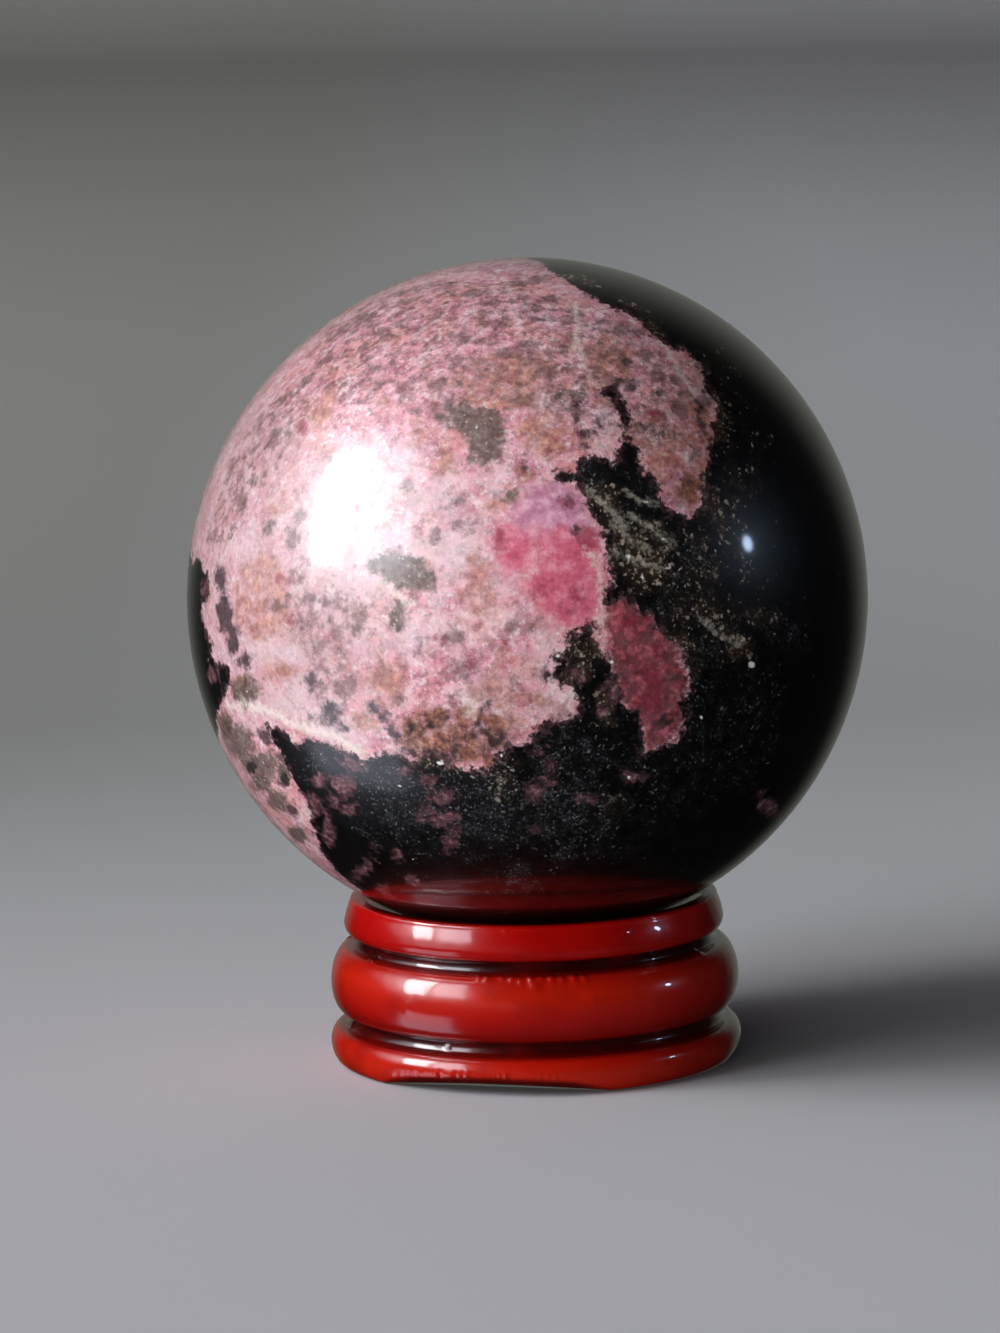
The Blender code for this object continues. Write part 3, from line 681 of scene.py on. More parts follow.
def arch_height(azimuth, radius):
    """How high in mm the sloping cuts lie at each place under the stand."""
    slope = ARCH_HEIGHT_MM / (SECTION_MM["flange"] - ARCH_CHORD_MM)
    height = np.zeros(len(azimuth))
    for middle in ARCH_AZIMUTHS:
        height = np.maximum(height, slope * (radius * np.cos(azimuth - middle) - ARCH_CHORD_MM))
    return height


def cut_arches(radius, azimuth, height):
    """Moves the lowest turned points up to the cuts, with a rounded edge.

    The cut meets the flange's round side where both have one height, which is found by trying closer and
    closer. The third array returned is painted shade below the edge's beads and under the cut, from 0 to 1.
    """
    m = SECTION_MM
    foot = height < TINY_MM
    bore = np.abs(radius - m["bore"]) < TINY_MM
    rim = foot & (radius > m["contact"] - TINY_MM)
    flange = ~foot & ~bore & (height < m["flange_top"] + TINY_MM) | rim
    under = foot & ~flange

    cut = np.full(len(azimuth), m["flange_middle"])
    for _ in range(ARCH_TRIALS):
        arched = np.clip(cut / FULL_ARCH_MM, 0, 1)
        edge_round = FOOT_ROUND_MM + (ARCH_ROUND_MM - FOOT_ROUND_MM) * arched
        edge = flange_radius(cut) - edge_round
        cut = arch_height(azimuth, edge)
    arched = np.clip(cut / FULL_ARCH_MM, 0, 1)
    raised = m["flange_top"] - (m["flange_top"] - height) * (m["flange_top"] - cut) / m["flange_top"]
    depth = np.clip(edge_round - (raised - cut), 0, edge_round)
    rounded = edge_round - np.sqrt(edge_round**2 - depth**2)
    stray = np.array([noise.noise(Vector((turn * 9, 0, 0))) for turn in azimuth])
    phase = math.tau * azimuth * m["flange"] / EDGE_BEAD_PITCH_MM + 9 * stray
    climb = (raised - cut) / edge_round
    ripple = EDGE_BEAD_RISE_MM * (0.6 + stray) * np.cos(phase)
    ripple = ripple * arched * np.exp(-(((climb - BEAD_LINE) / BEAD_SPREAD) ** 2))
    shaded = np.where(flange, np.clip((BEAD_LINE - climb) / SHADING_SPREAD, 0, 1), under) * arched
    outer = flange_radius(raised) - rounded + ripple

    inner = m["bore"] + (radius - m["bore"]) * (edge - m["bore"]) / (m["contact"] - m["bore"])
    soffit = arch_height(azimuth, inner)
    new_radius = np.where(flange, outer, np.where(under, inner, radius))
    new_height = np.where(flange, raised, np.where(under, soffit, height))
    return new_radius, new_height, shaded


def lacquer_relief(points, normals):
    """The lacquer's runs, beads and unevenness, raised along the surface's normals."""
    rise = np.zeros(len(points))
    for wide, high in LACQUER_WAVES_MM:
        rise += high * np.array([noise.noise(Vector(p / MM / wide)) for p in points])
    section = stand_section()
    outside = section[:section.index((SECTION_MM["contact"], 0))][::-1]
    for azimuth, height, spread, bead in LACQUER_BEADS:
        turn = math.radians(azimuth)
        radius = np.interp(height, [up for _, up in outside], [out for out, _ in outside])
        middle = np.array((radius * math.cos(turn), radius * math.sin(turn), height)) * MM
        gap = np.linalg.norm(points - middle, axis=1) / MM
        rise += bead * np.exp(-((gap / spread) ** 2))
    raised = points + normals * rise[:, None] * MM
    raised[:, 2] = np.maximum(raised[:, 2], 0)
    return raised


def turn_stand():
    """The stand's section spun round the axis, with the arches cut and the lacquer laid on."""
    section = stand_section()
    bpy.ops.object.select_all(action="DESELECT")
    bpy.ops.mesh.primitive_circle_add(vertices=len(section), radius=SECTION_MM["bead"] * MM)
    stand = bpy.context.object
    stand.name = "lacquered_stand"
    select_only(stand)
    for vertex, (radius, height) in zip(stand.data.vertices, section):
        vertex.co = (radius * MM, 0, height * MM)
    bpy.ops.object.mode_set(mode="EDIT")
    bpy.ops.mesh.select_all(action="SELECT")
    bpy.ops.mesh.spin(steps=STAND_STEPS, angle=math.tau, center=(0, 0, 0), axis=(0, 0, 1))
    bpy.ops.mesh.select_all(action="SELECT")
    bpy.ops.mesh.remove_doubles(threshold=TINY_MM * MM)
    bpy.ops.mesh.normals_make_consistent(inside=False)
    bpy.ops.object.mode_set(mode="OBJECT")

    x, y, z = mesh_points(stand).T / MM
    azimuth = np.arctan2(y, x)
    radius, height, shaded = cut_arches(np.hypot(x, y), azimuth, z)
    # Painted shade below the arches' edge beads and under the cuts, which the lacquer reads
    layer = stand.data.attributes.new("shade_under_edge", "FLOAT", "POINT")
    layer.data.foreach_set("value", shaded.astype(np.float32))
    points = np.column_stack((radius * np.cos(azimuth), radius * np.sin(azimuth), height)) * MM
    stand.data.vertices.foreach_set("co", points.ravel())
    stand.data.update()
    normals = np.empty(len(points) * 3)
    stand.data.vertex_normals.foreach_get("vector", normals)
    points = lacquer_relief(points, normals.reshape(-1, 3))
    stand.data.vertices.foreach_set("co", points.ravel())
    stand.data.update()
    bpy.ops.object.shade_smooth_by_angle(angle=math.radians(SMOOTH_UP_TO))
    return stand


def linear(colour):
    """An sRGB hex colour as linear RGBA."""
    parts = [int(colour[i:i + 2], 16) / 255 for i in (1, 3, 5)]
    return (*(c / 12.92 if c <= 0.04045 else ((c + 0.055) / 1.055) ** 2.4 for c in parts), 1)


def per_mm(size):
    """The texture scale whose features are this many millimetres across, on coordinates in metres."""
    return 1 / (size * MM)


def add(tree, kind, inputs=None, stops=(), **settings):
    """A node with its settings. Inputs are values or other nodes' outputs, and stops are a ramp's colours."""
    node = tree.nodes.new(kind)
    for name, value in settings.items():
        setattr(node, name, value)
    for key, value in (inputs or {}).items():
        if isinstance(value, bpy.types.NodeSocket):
            tree.links.new(value, node.inputs[key])
        else:
            node.inputs[key].default_value = value
    if stops:
        ramp = node.color_ramp.elements
        ramp.remove(ramp[1])
        ramp[0].position = stops[0][0]
        ramp[0].color = linear(stops[0][1])
        for position, colour in stops[1:]:
            ramp.new(position).color = linear(colour)
    return node


def grown(tree, place, layer, grain, wander, soft, seed=0.0):
    """A mask of a mineral's area, whose edge wanders by about so many mm in grains of the given size."""
    depth = add(tree, "ShaderNodeAttribute", attribute_name=layer).outputs["Fac"]
    grit = add(tree, "ShaderNodeTexNoise", {
        "Vector": place, "W": seed, "Scale": per_mm(grain), "Detail": 4, "Roughness": 0.66,
    }, noise_dimensions="4D").outputs[0]
    swing = wander * 6
    edge = add(tree, "ShaderNodeMath", {0: grit, 1: swing, 2: depth}, operation="MULTIPLY_ADD").outputs[0]
    return add(tree, "ShaderNodeMapRange", {
        "Value": edge, "From Min": swing / 2 - soft, "From Max": swing / 2 + soft,
    }, interpolation_type="SMOOTHSTEP").outputs[0]


def mottled(tree, place, grain, seed, low, high):
    """A mask of patches about so many mm across, where the noise rises from the low value to the high."""
    grit = add(tree, "ShaderNodeTexNoise", {
        "Vector": place, "W": seed, "Scale": per_mm(grain), "Detail": 4, "Roughness": 0.62,
    }, noise_dimensions="4D").outputs[0]
    return add(tree, "ShaderNodeMapRange", {
        "Value": grit, "From Min": low, "From Max": high,
    }, interpolation_type="SMOOTHSTEP").outputs[0]


def tinted(tree, place, grain, seed, stops):
    """Clouds of colour about so many mm across, through the given colours."""
    grit = add(tree, "ShaderNodeTexNoise", {
        "Vector": place, "W": seed, "Scale": per_mm(grain), "Detail": 4, "Roughness": 0.68,
    }, noise_dimensions="4D").outputs[0]
    return add(tree, "ShaderNodeValToRGB", {0: grit}, stops=stops).outputs[0]


def speckled(tree, place, size, share, radius):
    """A mask of small grains of unlike brightness: this share of the cells of this size hold one."""
    cells = add(tree, "ShaderNodeTexVoronoi", {"Vector": place, "Scale": per_mm(size)})
    parts = add(tree, "ShaderNodeSeparateColor", {0: cells.outputs["Color"]})
    chosen = add(tree, "ShaderNodeMath", {0: parts.outputs[0], 1: share}, operation="LESS_THAN").outputs[0]
    bright = add(tree, "ShaderNodeMapRange", {"Value": parts.outputs[1], "To Min": 0.15}).outputs[0]
    body = add(tree, "ShaderNodeMapRange", {
        "Value": cells.outputs["Distance"], "From Min": radius, "From Max": radius * 0.4,
    }).outputs[0]
    grain = add(tree, "ShaderNodeMath", {0: bright, 1: body}, operation="MULTIPLY").outputs[0]
    return add(tree, "ShaderNodeMath", {0: chosen, 1: grain}, operation="MULTIPLY").outputs[0]


def laid(tree, below, above, cover, *thinners):
    """One colour laid over another where its mask is 1, thinned by further masks or by plain strengths."""
    for thinner in thinners:
        cover = add(tree, "ShaderNodeMath", {0: cover, 1: thinner}, operation="MULTIPLY").outputs[0]
    below, above = (linear(colour) if isinstance(colour, str) else colour for colour in (below, above))
    return add(tree, "ShaderNodeMix", {0: cover, 6: below, 7: above}, data_type="RGBA").outputs[2]


def new_material(name, gloss):
    """A material with its nodes and its shader, whose own sockets hold the gloss's uniform values."""
    material = bpy.data.materials.new(name)
    material.use_nodes = True
    shader = material.node_tree.nodes["Principled BSDF"]
    for socket, value in gloss.items():
        shader.inputs[socket].default_value = value
    return material, material.node_tree, shader


def pink_ground(tree, place):
    """Sugary pink rhodonite: grains of 0.3 to 1 mm from dusty rose to milky pink."""
    ground = tinted(tree, place, 1.3, 1, [
        (0.3, "#A85C6B"), (0.42, "#DC909E"), (0.5, "#F0ACB8"), (0.6, "#F9C6CF"), (0.72, "#FFE4E8"),
    ])
    ground = laid(tree, ground, "#E89A84", mottled(tree, place, 3.2, 2, 0.48, 0.62), 0.42)
    ground = laid(tree, ground, "#D79ABB", mottled(tree, place, 2.4, 3, 0.52, 0.64), 0.35)
    ground = laid(tree, ground, "#7A4C56", mottled(tree, place, 1.1, 4, 0.53, 0.68), 0.5)
    ground = laid(tree, ground, "#FFF6F3", mottled(tree, place, 0.8, 5, 0.54, 0.7), 0.5)
    ground = laid(tree, ground, "#8C4E5C", mottled(tree, place, 0.45, 44, 0.53, 0.62), 0.45)
    ground = laid(tree, ground, "#FFF8F6", mottled(tree, place, 0.45, 45, 0.54, 0.64), 0.55)
    return laid(tree, ground, "#AE6040", mottled(tree, place, 1.0, 6, 0.59, 0.68), 0.5)


def black_oxide(tree, place, ragged):
    """Black manganese oxide, tinted brown in places, with dust and grains of tan quartz and silver mica.

    The dust of 0.16 mm is drawn as coarse as it needs to show.
    """
    black = tinted(tree, place, 1.5, 7, [(0.4, "#040404"), (0.75, "#151214")])
    tan = grown(tree, place, "gold", 1.4, 0.8, 1.1, 8)
    grey = grown(tree, place, "silver", 1.6, 0.9, 1.5, 9)
    black = laid(tree, black, "#33251A", tan, 0.9)
    black = laid(tree, black, "#141517", grey, 0.85)
    grit = (mottled(tree, ragged, 0.7, 30, 0.45, 0.65), mottled(tree, place, 0.16, 31, 0.48, 0.62))
    black = laid(tree, black, "#94826C", tan, *grit, 0.75)
    black = laid(tree, black, "#85878C", grey, *grit, 0.32)
    for mask, tone, strength, size, share, radius in (
        (tan, "#BDB09C", 0.85, 0.5, 0.45, 0.5), (tan, "#BDB09C", 0.85, 0.28, 0.5, 0.5),
        (grey, "#989A9E", 0.7, 0.28, 0.28, 0.42), (grey, "#989A9E", 0.7, 0.16, 0.35, 0.45),
    ):
        some = add(tree, "ShaderNodeMath", {0: mask, 1: share}, operation="MULTIPLY").outputs[0]
        black = laid(tree, black, tone, speckled(tree, ragged, size, some, radius), strength)
    black = laid(tree, black, "#B0A898", grown(tree, place, "streak", 0.4, 0.3, 0.25, 46), 0.6)
    island = tinted(tree, place, 0.5, 32, [(0.36, "#3E2A2D"), (0.5, "#74494F"), (0.64, "#AC7C84")])
    black = laid(tree, black, island, grown(tree, place, "island", 0.8, 0.45, 0.4, 33), 0.8)
    return laid(tree, black, "#8E8880", speckled(tree, ragged, 0.7, 0.2, 0.2), 0.5)


# A mirror coat over a base with a broad, milky sheen, which gives bright lights their haze
STONE_GLOSS = {
    "Roughness": 0.37, "IOR": 1.72, "Specular IOR Level": 0.5,
    "Coat Weight": 1, "Coat Roughness": 0.08, "Coat IOR": 1.5,
}
# How far the grains' places are stirred, so that no grain is a neat round, in mm
STIR_MM = 0.6


def polished_rhodonite():
    """Rhodonite polished to a mirror gloss: a sharp reflection with a milky haze round bright lights."""
    stone, tree, shader = new_material("Polished rhodonite", STONE_GLOSS)
    place = add(tree, "ShaderNodeTexCoord").outputs["Object"]
    stir = add(tree, "ShaderNodeTexNoise", {"Vector": place, "Scale": per_mm(0.35), "Detail": 3})
    centred = add(tree, "ShaderNodeVectorMath", {
        0: stir.outputs["Color"], 1: (0.5, 0.5, 0.5),
    }, operation="SUBTRACT").outputs[0]
    ragged = add(tree, "ShaderNodeVectorMath", {
        0: centred, 1: (STIR_MM * MM, STIR_MM * MM, STIR_MM * MM), 2: place,
    }, operation="MULTIPLY_ADD").outputs[0]

    colour = pink_ground(tree, place)
    # Paler, milkier ground, with painted haze round the window's reflection
    colour = laid(tree, colour, "#FBE7EB", grown(tree, place, "pale_and_haze", 1.5, 0.9, 1.5, 11), 0.5)
    colour = laid(tree, colour, "#B49EA0", grown(tree, place, "dusty", 2.2, 0.8, 3.5, 39), 0.45)
    rust = tinted(tree, place, 0.7, 12, [(0.38, "#74402A"), (0.5, "#A8684A"), (0.64, "#DCA07A")])
    colour = laid(tree, colour, rust, grown(tree, place, "rust", 0.9, 0.6, 0.6, 13), 0.72)
    umber = tinted(tree, place, 0.6, 42, [(0.38, "#3A1E12"), (0.5, "#7C4229"), (0.64, "#C08458")])
    colour = laid(tree, colour, umber, grown(tree, place, "umber", 0.9, 0.6, 0.4, 43), 0.85)
    colour = laid(tree, colour, "#B29590", grown(tree, place, "plum", 2.0, 0.8, 1.2, 40), 0.35)
    plum = tinted(tree, place, 0.6, 14, [(0.38, "#402E2E"), (0.5, "#6A5050"), (0.64, "#967372")])
    colour = laid(tree, colour, plum, grown(tree, place, "plum", 0.8, 0.6, 0.4, 15), 0.72)

    rose = tinted(tree, place, 1.0, 16, [(0.34, "#C2425F"), (0.5, "#E06A84"), (0.66, "#F6A2B2")])
    colour = laid(tree, colour, "#EC8398", grown(tree, place, "rose", 1.6, 1.2, 2.4, 38), 0.45)
    colour = laid(tree, colour, rose, grown(tree, place, "rose", 0.9, 0.6, 0.7, 17), 0.88)
    lilac = tinted(tree, place, 0.9, 34, [(0.34, "#AC6084"), (0.5, "#D692B0"), (0.66, "#F2C4D6")])
    colour = laid(tree, colour, lilac, grown(tree, place, "lilac", 0.9, 0.6, 0.7, 35), 0.8)
    lobe = tinted(tree, place, 0.9, 36, [(0.34, "#30070D"), (0.5, "#7E1F2C"), (0.66, "#C85A66")])
    colour = laid(tree, colour, lobe, grown(tree, place, "lobe", 0.8, 0.4, 0.4, 37), 0.88)
    colour = laid(tree, colour, "#8E1C38", grown(tree, place, "crimson", 0.6, 0.35, 0.35, 18), 0.65)

    olive = tinted(tree, place, 0.5, 19, [(0.36, "#463A33"), (0.5, "#62564E"), (0.68, "#928678")])
    olive = laid(tree, olive, "#E4DED4", speckled(tree, ragged, 0.35, 0.3, 0.35))
    colour = laid(tree, colour, olive, grown(tree, place, "olive", 0.8, 0.48, 0.4, 20), 0.88)
    colour = laid(tree, colour, "#F6ECDD", grown(tree, place, "cream", 0.5, 0.32, 0.35, 21), 0.65)
    dark = tinted(tree, place, 0.5, 26, [(0.4, "#0B0A0D"), (0.66, "#4E4248")])
    colour = laid(tree, colour, dark, grown(tree, place, "dark", 0.8, 0.45, 0.35, 27), 0.88)
    colour = laid(tree, dark, colour, grown(tree, place, "pink", 0.4, 0.5, 0.3, 28))

    black = black_oxide(tree, place, ragged)
    inside = grown(tree, place, "pink", 0.9, 0.45, 0.12, 22)
    fringe = grown(tree, place, "pink", 0.45, 0.6, 0.45, 23)
    black = laid(tree, black, "#6A474C", fringe, 0.65)
    colour = laid(tree, black, colour, inside)
    colour = laid(tree, colour, "#F2EEE6", grown(tree, place, "fleck", 0.3, 0.04, 0.06))

    tree.links.new(colour, shader.inputs["Base Color"])
    return stone


# The lacquer's tone at each height in mm, with painted shade: dark in the two coves and on the bead's
# underside, and lighter over the bead's upper part
LACQUER_TOP_MM = 13.0
LACQUER_TONES_AND_SHADE = [
    (0, "#B01A06"), (1.4, "#B81E08"), (2.5, "#AC1204"), (2.9, "#3C0101"), (3.65, "#2E0101"), (4.1, "#7A0301"),
    (5.6, "#A00902"), (7.4, "#B81C06"), (8.5, "#A81204"), (8.8, "#300101"), (9.5, "#280101"),
    (9.8, "#980301"), (12.2, "#B00602"), (12.35, "#5A0201"),
]
# A wet, clear coat over a softer red sheen
LACQUER_GLOSS = {
    "Roughness": 0.26, "IOR": 1.5, "Specular IOR Level": 0.45,
    "Coat Weight": 1, "Coat Roughness": 0.04, "Coat IOR": 1.6,
}


def red_lacquer():
    """Thick glossy red lacquer brushed over turned wood: a wet shine, slight orange peel and painted shade.
    """
    lacquer, tree, shader = new_material("Red lacquer", LACQUER_GLOSS)
    place = add(tree, "ShaderNodeTexCoord").outputs["Object"]
    height = add(tree, "ShaderNodeSeparateXYZ", {0: place}).outputs[2]
    level = add(tree, "ShaderNodeMapRange", {"Value": height, "From Max": LACQUER_TOP_MM * MM}).outputs[0]
    # Painted shade by height: the ramp is dark in the coves and on the bead's underside
    stops = [(up / LACQUER_TOP_MM, tone) for up, tone in LACQUER_TONES_AND_SHADE]
    colour = add(tree, "ShaderNodeValToRGB", {0: level}, stops=stops).outputs[0]
    colour = laid(tree, colour, "#7A0200", mottled(tree, place, 4, 41, 0.48, 0.66), 0.35)
    # Painted shade on the rounded edges of the arches and under the cuts
    shade_under_edge = add(tree, "ShaderNodeAttribute", attribute_name="shade_under_edge").outputs["Fac"]
    colour = laid(tree, colour, "#4A0403", shade_under_edge, 0.92)
    peel = add(tree, "ShaderNodeTexNoise", {"Vector": place, "Scale": per_mm(0.7), "Detail": 2}).outputs[0]
    bump = add(tree, "ShaderNodeBump", {"Height": peel, "Strength": 0.25, "Distance": 0.02 * MM}).outputs[0]
    tree.links.new(colour, shader.inputs["Base Color"])
    tree.links.new(bump, shader.inputs["Normal"])
    return lacquer


def finished(piece, node, material):
    """Gives a piece its material, hides the CAD node that it stands in for and hangs it under the root body.
    """
    piece.data.materials.clear()
    piece.data.materials.append(material)
    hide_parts(node)
    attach(piece, "root")


# The floor, in metres: a round sheet that turns up into a wall well behind the object
FLOOR_RADIUS = 1.45
WALL_RISE = 1.2
SWEEP_RADIUS = 0.4
SWEEP_STEPS = 12
# Shades of the paper on the left and the right, from the first place in metres, before the object, to the
# second, far behind it: lighter on the right and far behind as painted light, with a darker band some way
# behind the object
SHADE_FRONT = -0.2
SHADE_BACK = 1.3
LEFT_PAINTED_SHADES = [
    (0.0, "#D0CFD2"), (0.133, "#CFCED1"), (0.173, "#C5C5C7"), (0.213, "#AFB0AD"), (0.24, "#A4A5A0"),
    (0.307, "#ADAEA8"), (0.467, "#C6C7BF"), (0.667, "#DCDCD2"), (1.0, "#F4F4EC"),
]
RIGHT_PAINTED_SHADES = [
    (0.0, "#D6D6D8"), (0.147, "#D6D6D8"), (0.2, "#D2D3D4"), (0.24, "#C6C6C6"), (0.32, "#D4D5D6"),
    (0.467, "#E9EBEE"), (0.667, "#FBFCFF"), (1.0, "#FFFFFF"),
]
# The sweep's shade, which comes in between these heights in metres
SWEEP_SHADE = "#2C2C2C"
SHADED_FROM = 0.08
SHADED_FULLY = 0.3
# The left shades turn into the right ones between these two places
SHADE_LEFT_X = -0.05
SHADE_RIGHT_X = 0.06


def lay_floor():
    """Pale grey paper, matt, so that it takes soft shadows. Painted light shades it by depth and by side."""
    bpy.ops.object.select_all(action="DESELECT")
    bpy.ops.mesh.primitive_circle_add(vertices=96, radius=FLOOR_RADIUS, fill_type="NGON")
    floor = bpy.context.object
    floor.name = "floor"
    bpy.ops.object.mode_set(mode="EDIT")
    bpy.ops.mesh.select_all(action="SELECT")
    bpy.ops.mesh.region_to_loop()
    radius, height = FLOOR_RADIUS, 0
    for i in range(1, SWEEP_STEPS + 1):
        turn = math.pi / 2 * i / SWEEP_STEPS
        new_radius = FLOOR_RADIUS + SWEEP_RADIUS * math.sin(turn)
        new_height = SWEEP_RADIUS * (1 - math.cos(turn))
        bpy.ops.mesh.extrude_edges_move()
        bpy.ops.transform.resize(value=(new_radius / radius, new_radius / radius, 1))
        bpy.ops.transform.translate(value=(0, 0, new_height - height))
        radius, height = new_radius, new_height
    bpy.ops.mesh.extrude_edges_move(TRANSFORM_OT_translate={"value": (0, 0, WALL_RISE)})
    bpy.ops.object.mode_set(mode="OBJECT")
    bpy.ops.object.shade_smooth()

    paper, tree, shader = new_material("Pale grey paper", {"Roughness": 0.7})
    place = add(tree, "ShaderNodeSeparateXYZ", {0: add(tree, "ShaderNodeTexCoord").outputs["Object"]})
    backwards, rightwards, upwards = (
        add(tree, "ShaderNodeMapRange", {
            "Value": place.outputs[axis], "From Min": low, "From Max": high,
        }).outputs[0]
        for axis, low, high in (
            (1, SHADE_FRONT, SHADE_BACK), (0, SHADE_LEFT_X, SHADE_RIGHT_X), (2, SHADED_FROM, SHADED_FULLY),
        )
    )
    # The paper's painted light: lighter on the right and far behind
    left = add(tree, "ShaderNodeValToRGB", {0: backwards}, stops=LEFT_PAINTED_SHADES).outputs[0]
    right = add(tree, "ShaderNodeValToRGB", {0: backwards}, stops=RIGHT_PAINTED_SHADES).outputs[0]
    shade = laid(tree, laid(tree, left, right, rightwards), SWEEP_SHADE, upwards)
    tree.links.new(shade, shader.inputs["Base Color"])
    floor.data.materials.append(paper)
    floor.visible_glossy = False


def area_light(name, centre, across, upwards, radiance, colour="#FFFFFF", shape="RECTANGLE"):
    """A soft light with the two given edges, facing the ball, whose power gives the radiance."""
    facing = (centre - Vector(BALL_CENTRE)).normalized()
    side = (across - facing * across.dot(facing)).normalized()
    light = bpy.data.lights.new(name, "AREA")
    light.shape = shape
    light.size = across.length
    light.size_y = upwards.length
    surface = across.length * upwards.length * (1 if shape == "RECTANGLE" else math.pi / 4)
    light.energy = radiance * math.pi * surface
    light.color = linear(colour)[:3]
    lamp = bpy.data.objects.new(name, light)
    axes = Matrix((side, facing.cross(side), facing)).transposed()
    lamp.matrix_world = Matrix.Translation(centre) @ axes.to_4x4()
    lamp.visible_camera = False
    bpy.context.scene.collection.objects.link(lamp)
    return lamp


def soft_pane(name, corners, radiance, colour, soft):
    """A sheet that glows towards the object and fades over this share of the way to its middle."""
    bpy.ops.object.select_all(action="DESELECT")
    bpy.ops.mesh.primitive_plane_add(size=2)
    pane = bpy.context.object
    pane.name = name
    low_left, low_right, top_left, top_right = (pane.data.vertices[i] for i in range(4))
    facing = (corners[2] - corners[0]).cross(corners[1] - corners[0])
    if facing.dot(Vector(BALL_CENTRE) - corners[0]) < 0:
        corners = corners[::-1]
    for vertex, corner in zip((top_left, top_right, low_right, low_left), corners):
        vertex.co = corner
    glow, tree, _ = new_material(name, {})
    sheet = add(tree, "ShaderNodeSeparateXYZ", {0: add(tree, "ShaderNodeTexCoord").outputs["UV"]})
    strength = radiance
    for along in (sheet.outputs[0], sheet.outputs[1]):
        inwards = add(tree, "ShaderNodeMath", {0: along, 1: 0.5}, operation="PINGPONG").outputs[0]
        fade = add(tree, "ShaderNodeMapRange", {
            "Value": inwards, "From Max": soft / 2,
        }, interpolation_type="SMOOTHSTEP").outputs[0]
        strength = add(tree, "ShaderNodeMath", {0: fade, 1: strength}, operation="MULTIPLY").outputs[0]
    emission = add(tree, "ShaderNodeEmission", {0: linear(colour), 1: strength}).outputs[0]
    clear = add(tree, "ShaderNodeBsdfTransparent").outputs[0]
    front = add(tree, "ShaderNodeAddShader", {0: emission, 1: clear}).outputs[0]
    back = add(tree, "ShaderNodeNewGeometry").outputs["Backfacing"]
    shown = add(tree, "ShaderNodeMixShader", {0: back, 1: front, 2: clear}).outputs[0]
    tree.links.new(shown, tree.nodes["Material Output"].inputs["Surface"])
    pane.data.materials.append(glow)
    pane.visible_camera = False
    pane.visible_shadow = False
    return pane


def mirrored(places, distance):
    """What the camera sees in the ball at these places, found at that distance from the ball."""
    normals = seen_at(places)
    surface = normals * BALL_RADIUS
    to_eye = unit(EYE @ VIEW_AXES - surface)
    ways = 2 * (normals * to_eye).sum(1, keepdims=True) * normals - to_eye
    return [Vector(BALL_CENTRE + point + way * distance) for point, way in zip(surface, ways)]


# Tall soft lights from the upper left, as the ball mirrors them: the corners from the top left, clockwise,
# in mm on the picture plane, then the distance, the radiance, the colour and the share over which the
# edges fade
WINDOW_PANES = [
    ("Window", [(-13.9, 11.6), (-9.9, 11.6), (-13.4, 1.6), (-16.2, 1.6)], 1.3, 10, "#FBFCFF", 0.35),
    ("Window side", [(-10.6, 11.6), (-7, 11.2), (-8, 0.8), (-13.4, 0.8)], 1.3, 4.2, "#F4F6FF", 0.5),
    ("Window glow", [(-16.5, 15), (-6, 14), (-6, -1), (-18, -1)], 1.365, 1.9, "#F4F6FF", 0.9),
]
# The same light from below, as polish under the object would mirror it, which only reflections see
SUNKEN_PANE = (
    "Window in the table", [(-15.2, 11.6), (-7.6, 11.4), (-9.6, 1), (-16.8, 1.6)], 1.3, 1.2, "#E4EAFF", 0.4,
)
# A small bluish lamp, whose round reflection the ball shows
LAMP_SEEN = (16.2, 4.0)
LAMP_DISTANCE = 0.8
LAMP_WIDTH = 0.055
LAMP_RADIANCE = 20
# Broad fills that reflections don't see: the centre, two edges in metres, and the radiance
FILLS = [
    ("Front fill", (-0.68, -1.03, 0.16), (1.03, -0.68, 0), (0, 0, 0.28), 6.9),
    ("Top fill", (-0.2, 0.2, 1.2), (1.5, 0, 0), (0, 1.5, 0), 0.08),
]


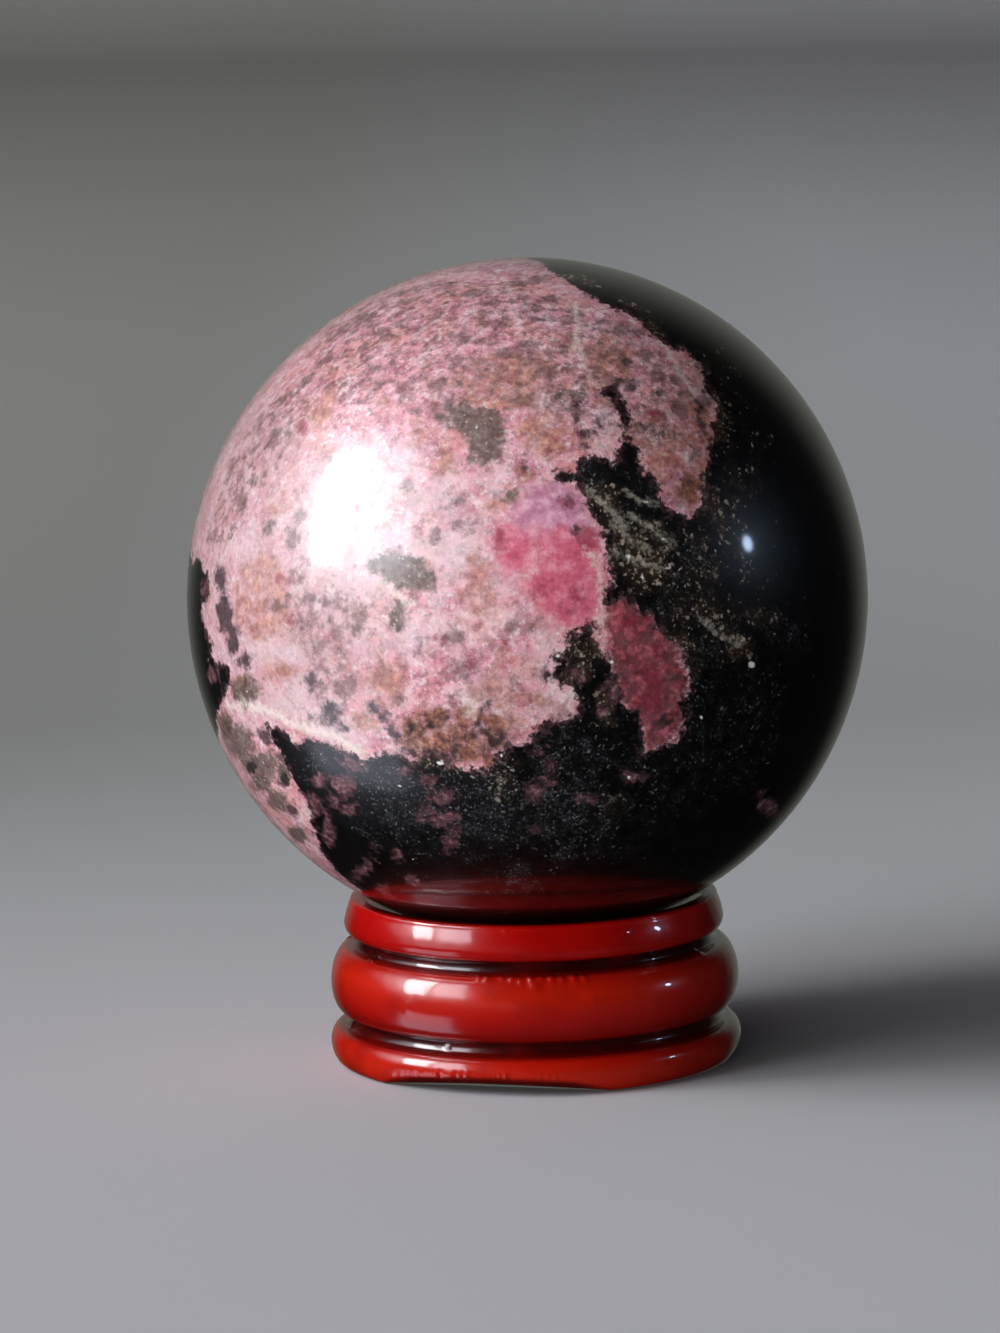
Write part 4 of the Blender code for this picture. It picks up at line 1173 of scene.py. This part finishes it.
def light_the_ball():
    """The soft panes and the lamp that the ball mirrors, and two fills for its colours and the shadows."""
    for name, seen, distance, radiance, colour, soft in WINDOW_PANES:
        soft_pane(name, mirrored(seen, distance), radiance, colour, soft)
    name, seen, distance, radiance, colour, soft = SUNKEN_PANE
    sunken = [Vector((place.x, place.y, -place.z)) for place in mirrored(seen, distance)]
    soft_pane(name, sunken, radiance, colour, soft).visible_diffuse = False
    lamp, = mirrored([LAMP_SEEN], LAMP_DISTANCE)
    width = Vector((0, LAMP_WIDTH, 0))
    area_light("Small lamp", lamp, width, width, LAMP_RADIANCE, "#C4DCFF", "DISK")
    for name, centre, across, upwards, radiance in FILLS:
        area_light(name, Vector(centre), Vector(across), Vector(upwards), radiance).visible_glossy = False


# The direction of the grey light that the ball's edge mirrors, and the cosines between which it comes up
GREY_LIGHT_WAY = (0.05, 0.99, 0.12)
GREY_FROM = 0.72
GREY_FULLY = 1.0
# How near and how far the camera sees, in metres
CLIP_NEAR = 0.02
CLIP_FAR = 10


def studio_world():
    """Dark towards the camera, so that the black stone stays black, and grey behind the object."""
    world = bpy.data.worlds.new("Studio")
    bpy.context.scene.world = world
    world.use_nodes = True
    tree = world.node_tree
    way = add(tree, "ShaderNodeTexCoord").outputs["Generated"]
    towards = add(tree, "ShaderNodeVectorMath", {0: way, 1: GREY_LIGHT_WAY}, operation="DOT_PRODUCT")
    behind = add(tree, "ShaderNodeMapRange", {
        "Value": towards.outputs["Value"], "From Min": GREY_FROM, "From Max": GREY_FULLY,
    }, interpolation_type="SMOOTHSTEP").outputs[0]
    tree.links.new(laid(tree, "#0E0D0D", "#6E706A", behind), tree.nodes["Background"].inputs["Color"])


def aim_camera():
    """A camera at the place and with the picture that VIEW_AXES and EYE describe."""
    camera = bpy.data.objects.new("Camera", bpy.data.cameras.new("Camera"))
    bpy.context.scene.collection.objects.link(camera)
    place = Vector(BALL_CENTRE + EYE @ VIEW_AXES)
    camera.matrix_world = Matrix.Translation(place) @ Matrix((RIGHT, UP, BACKWARDS)).transposed().to_4x4()
    camera.data.sensor_width = SENSOR_MM
    camera.data.lens = SENSOR_MM * VIEW_DISTANCE * PIXELS_PER_METRE / PICTURE_SIZE[1]
    camera.data.clip_start = CLIP_NEAR
    camera.data.clip_end = CLIP_FAR
    bpy.context.scene.camera = camera


def main():
    bpy.context.scene.view_settings.view_transform = "Standard"
    aim_camera()
    studio_world()
    light_the_ball()
    lay_floor()
    finished(ground_ball(), "rhodonite_ball", polished_rhodonite())
    finished(turn_stand(), "ring_stand", red_lacquer())


main()
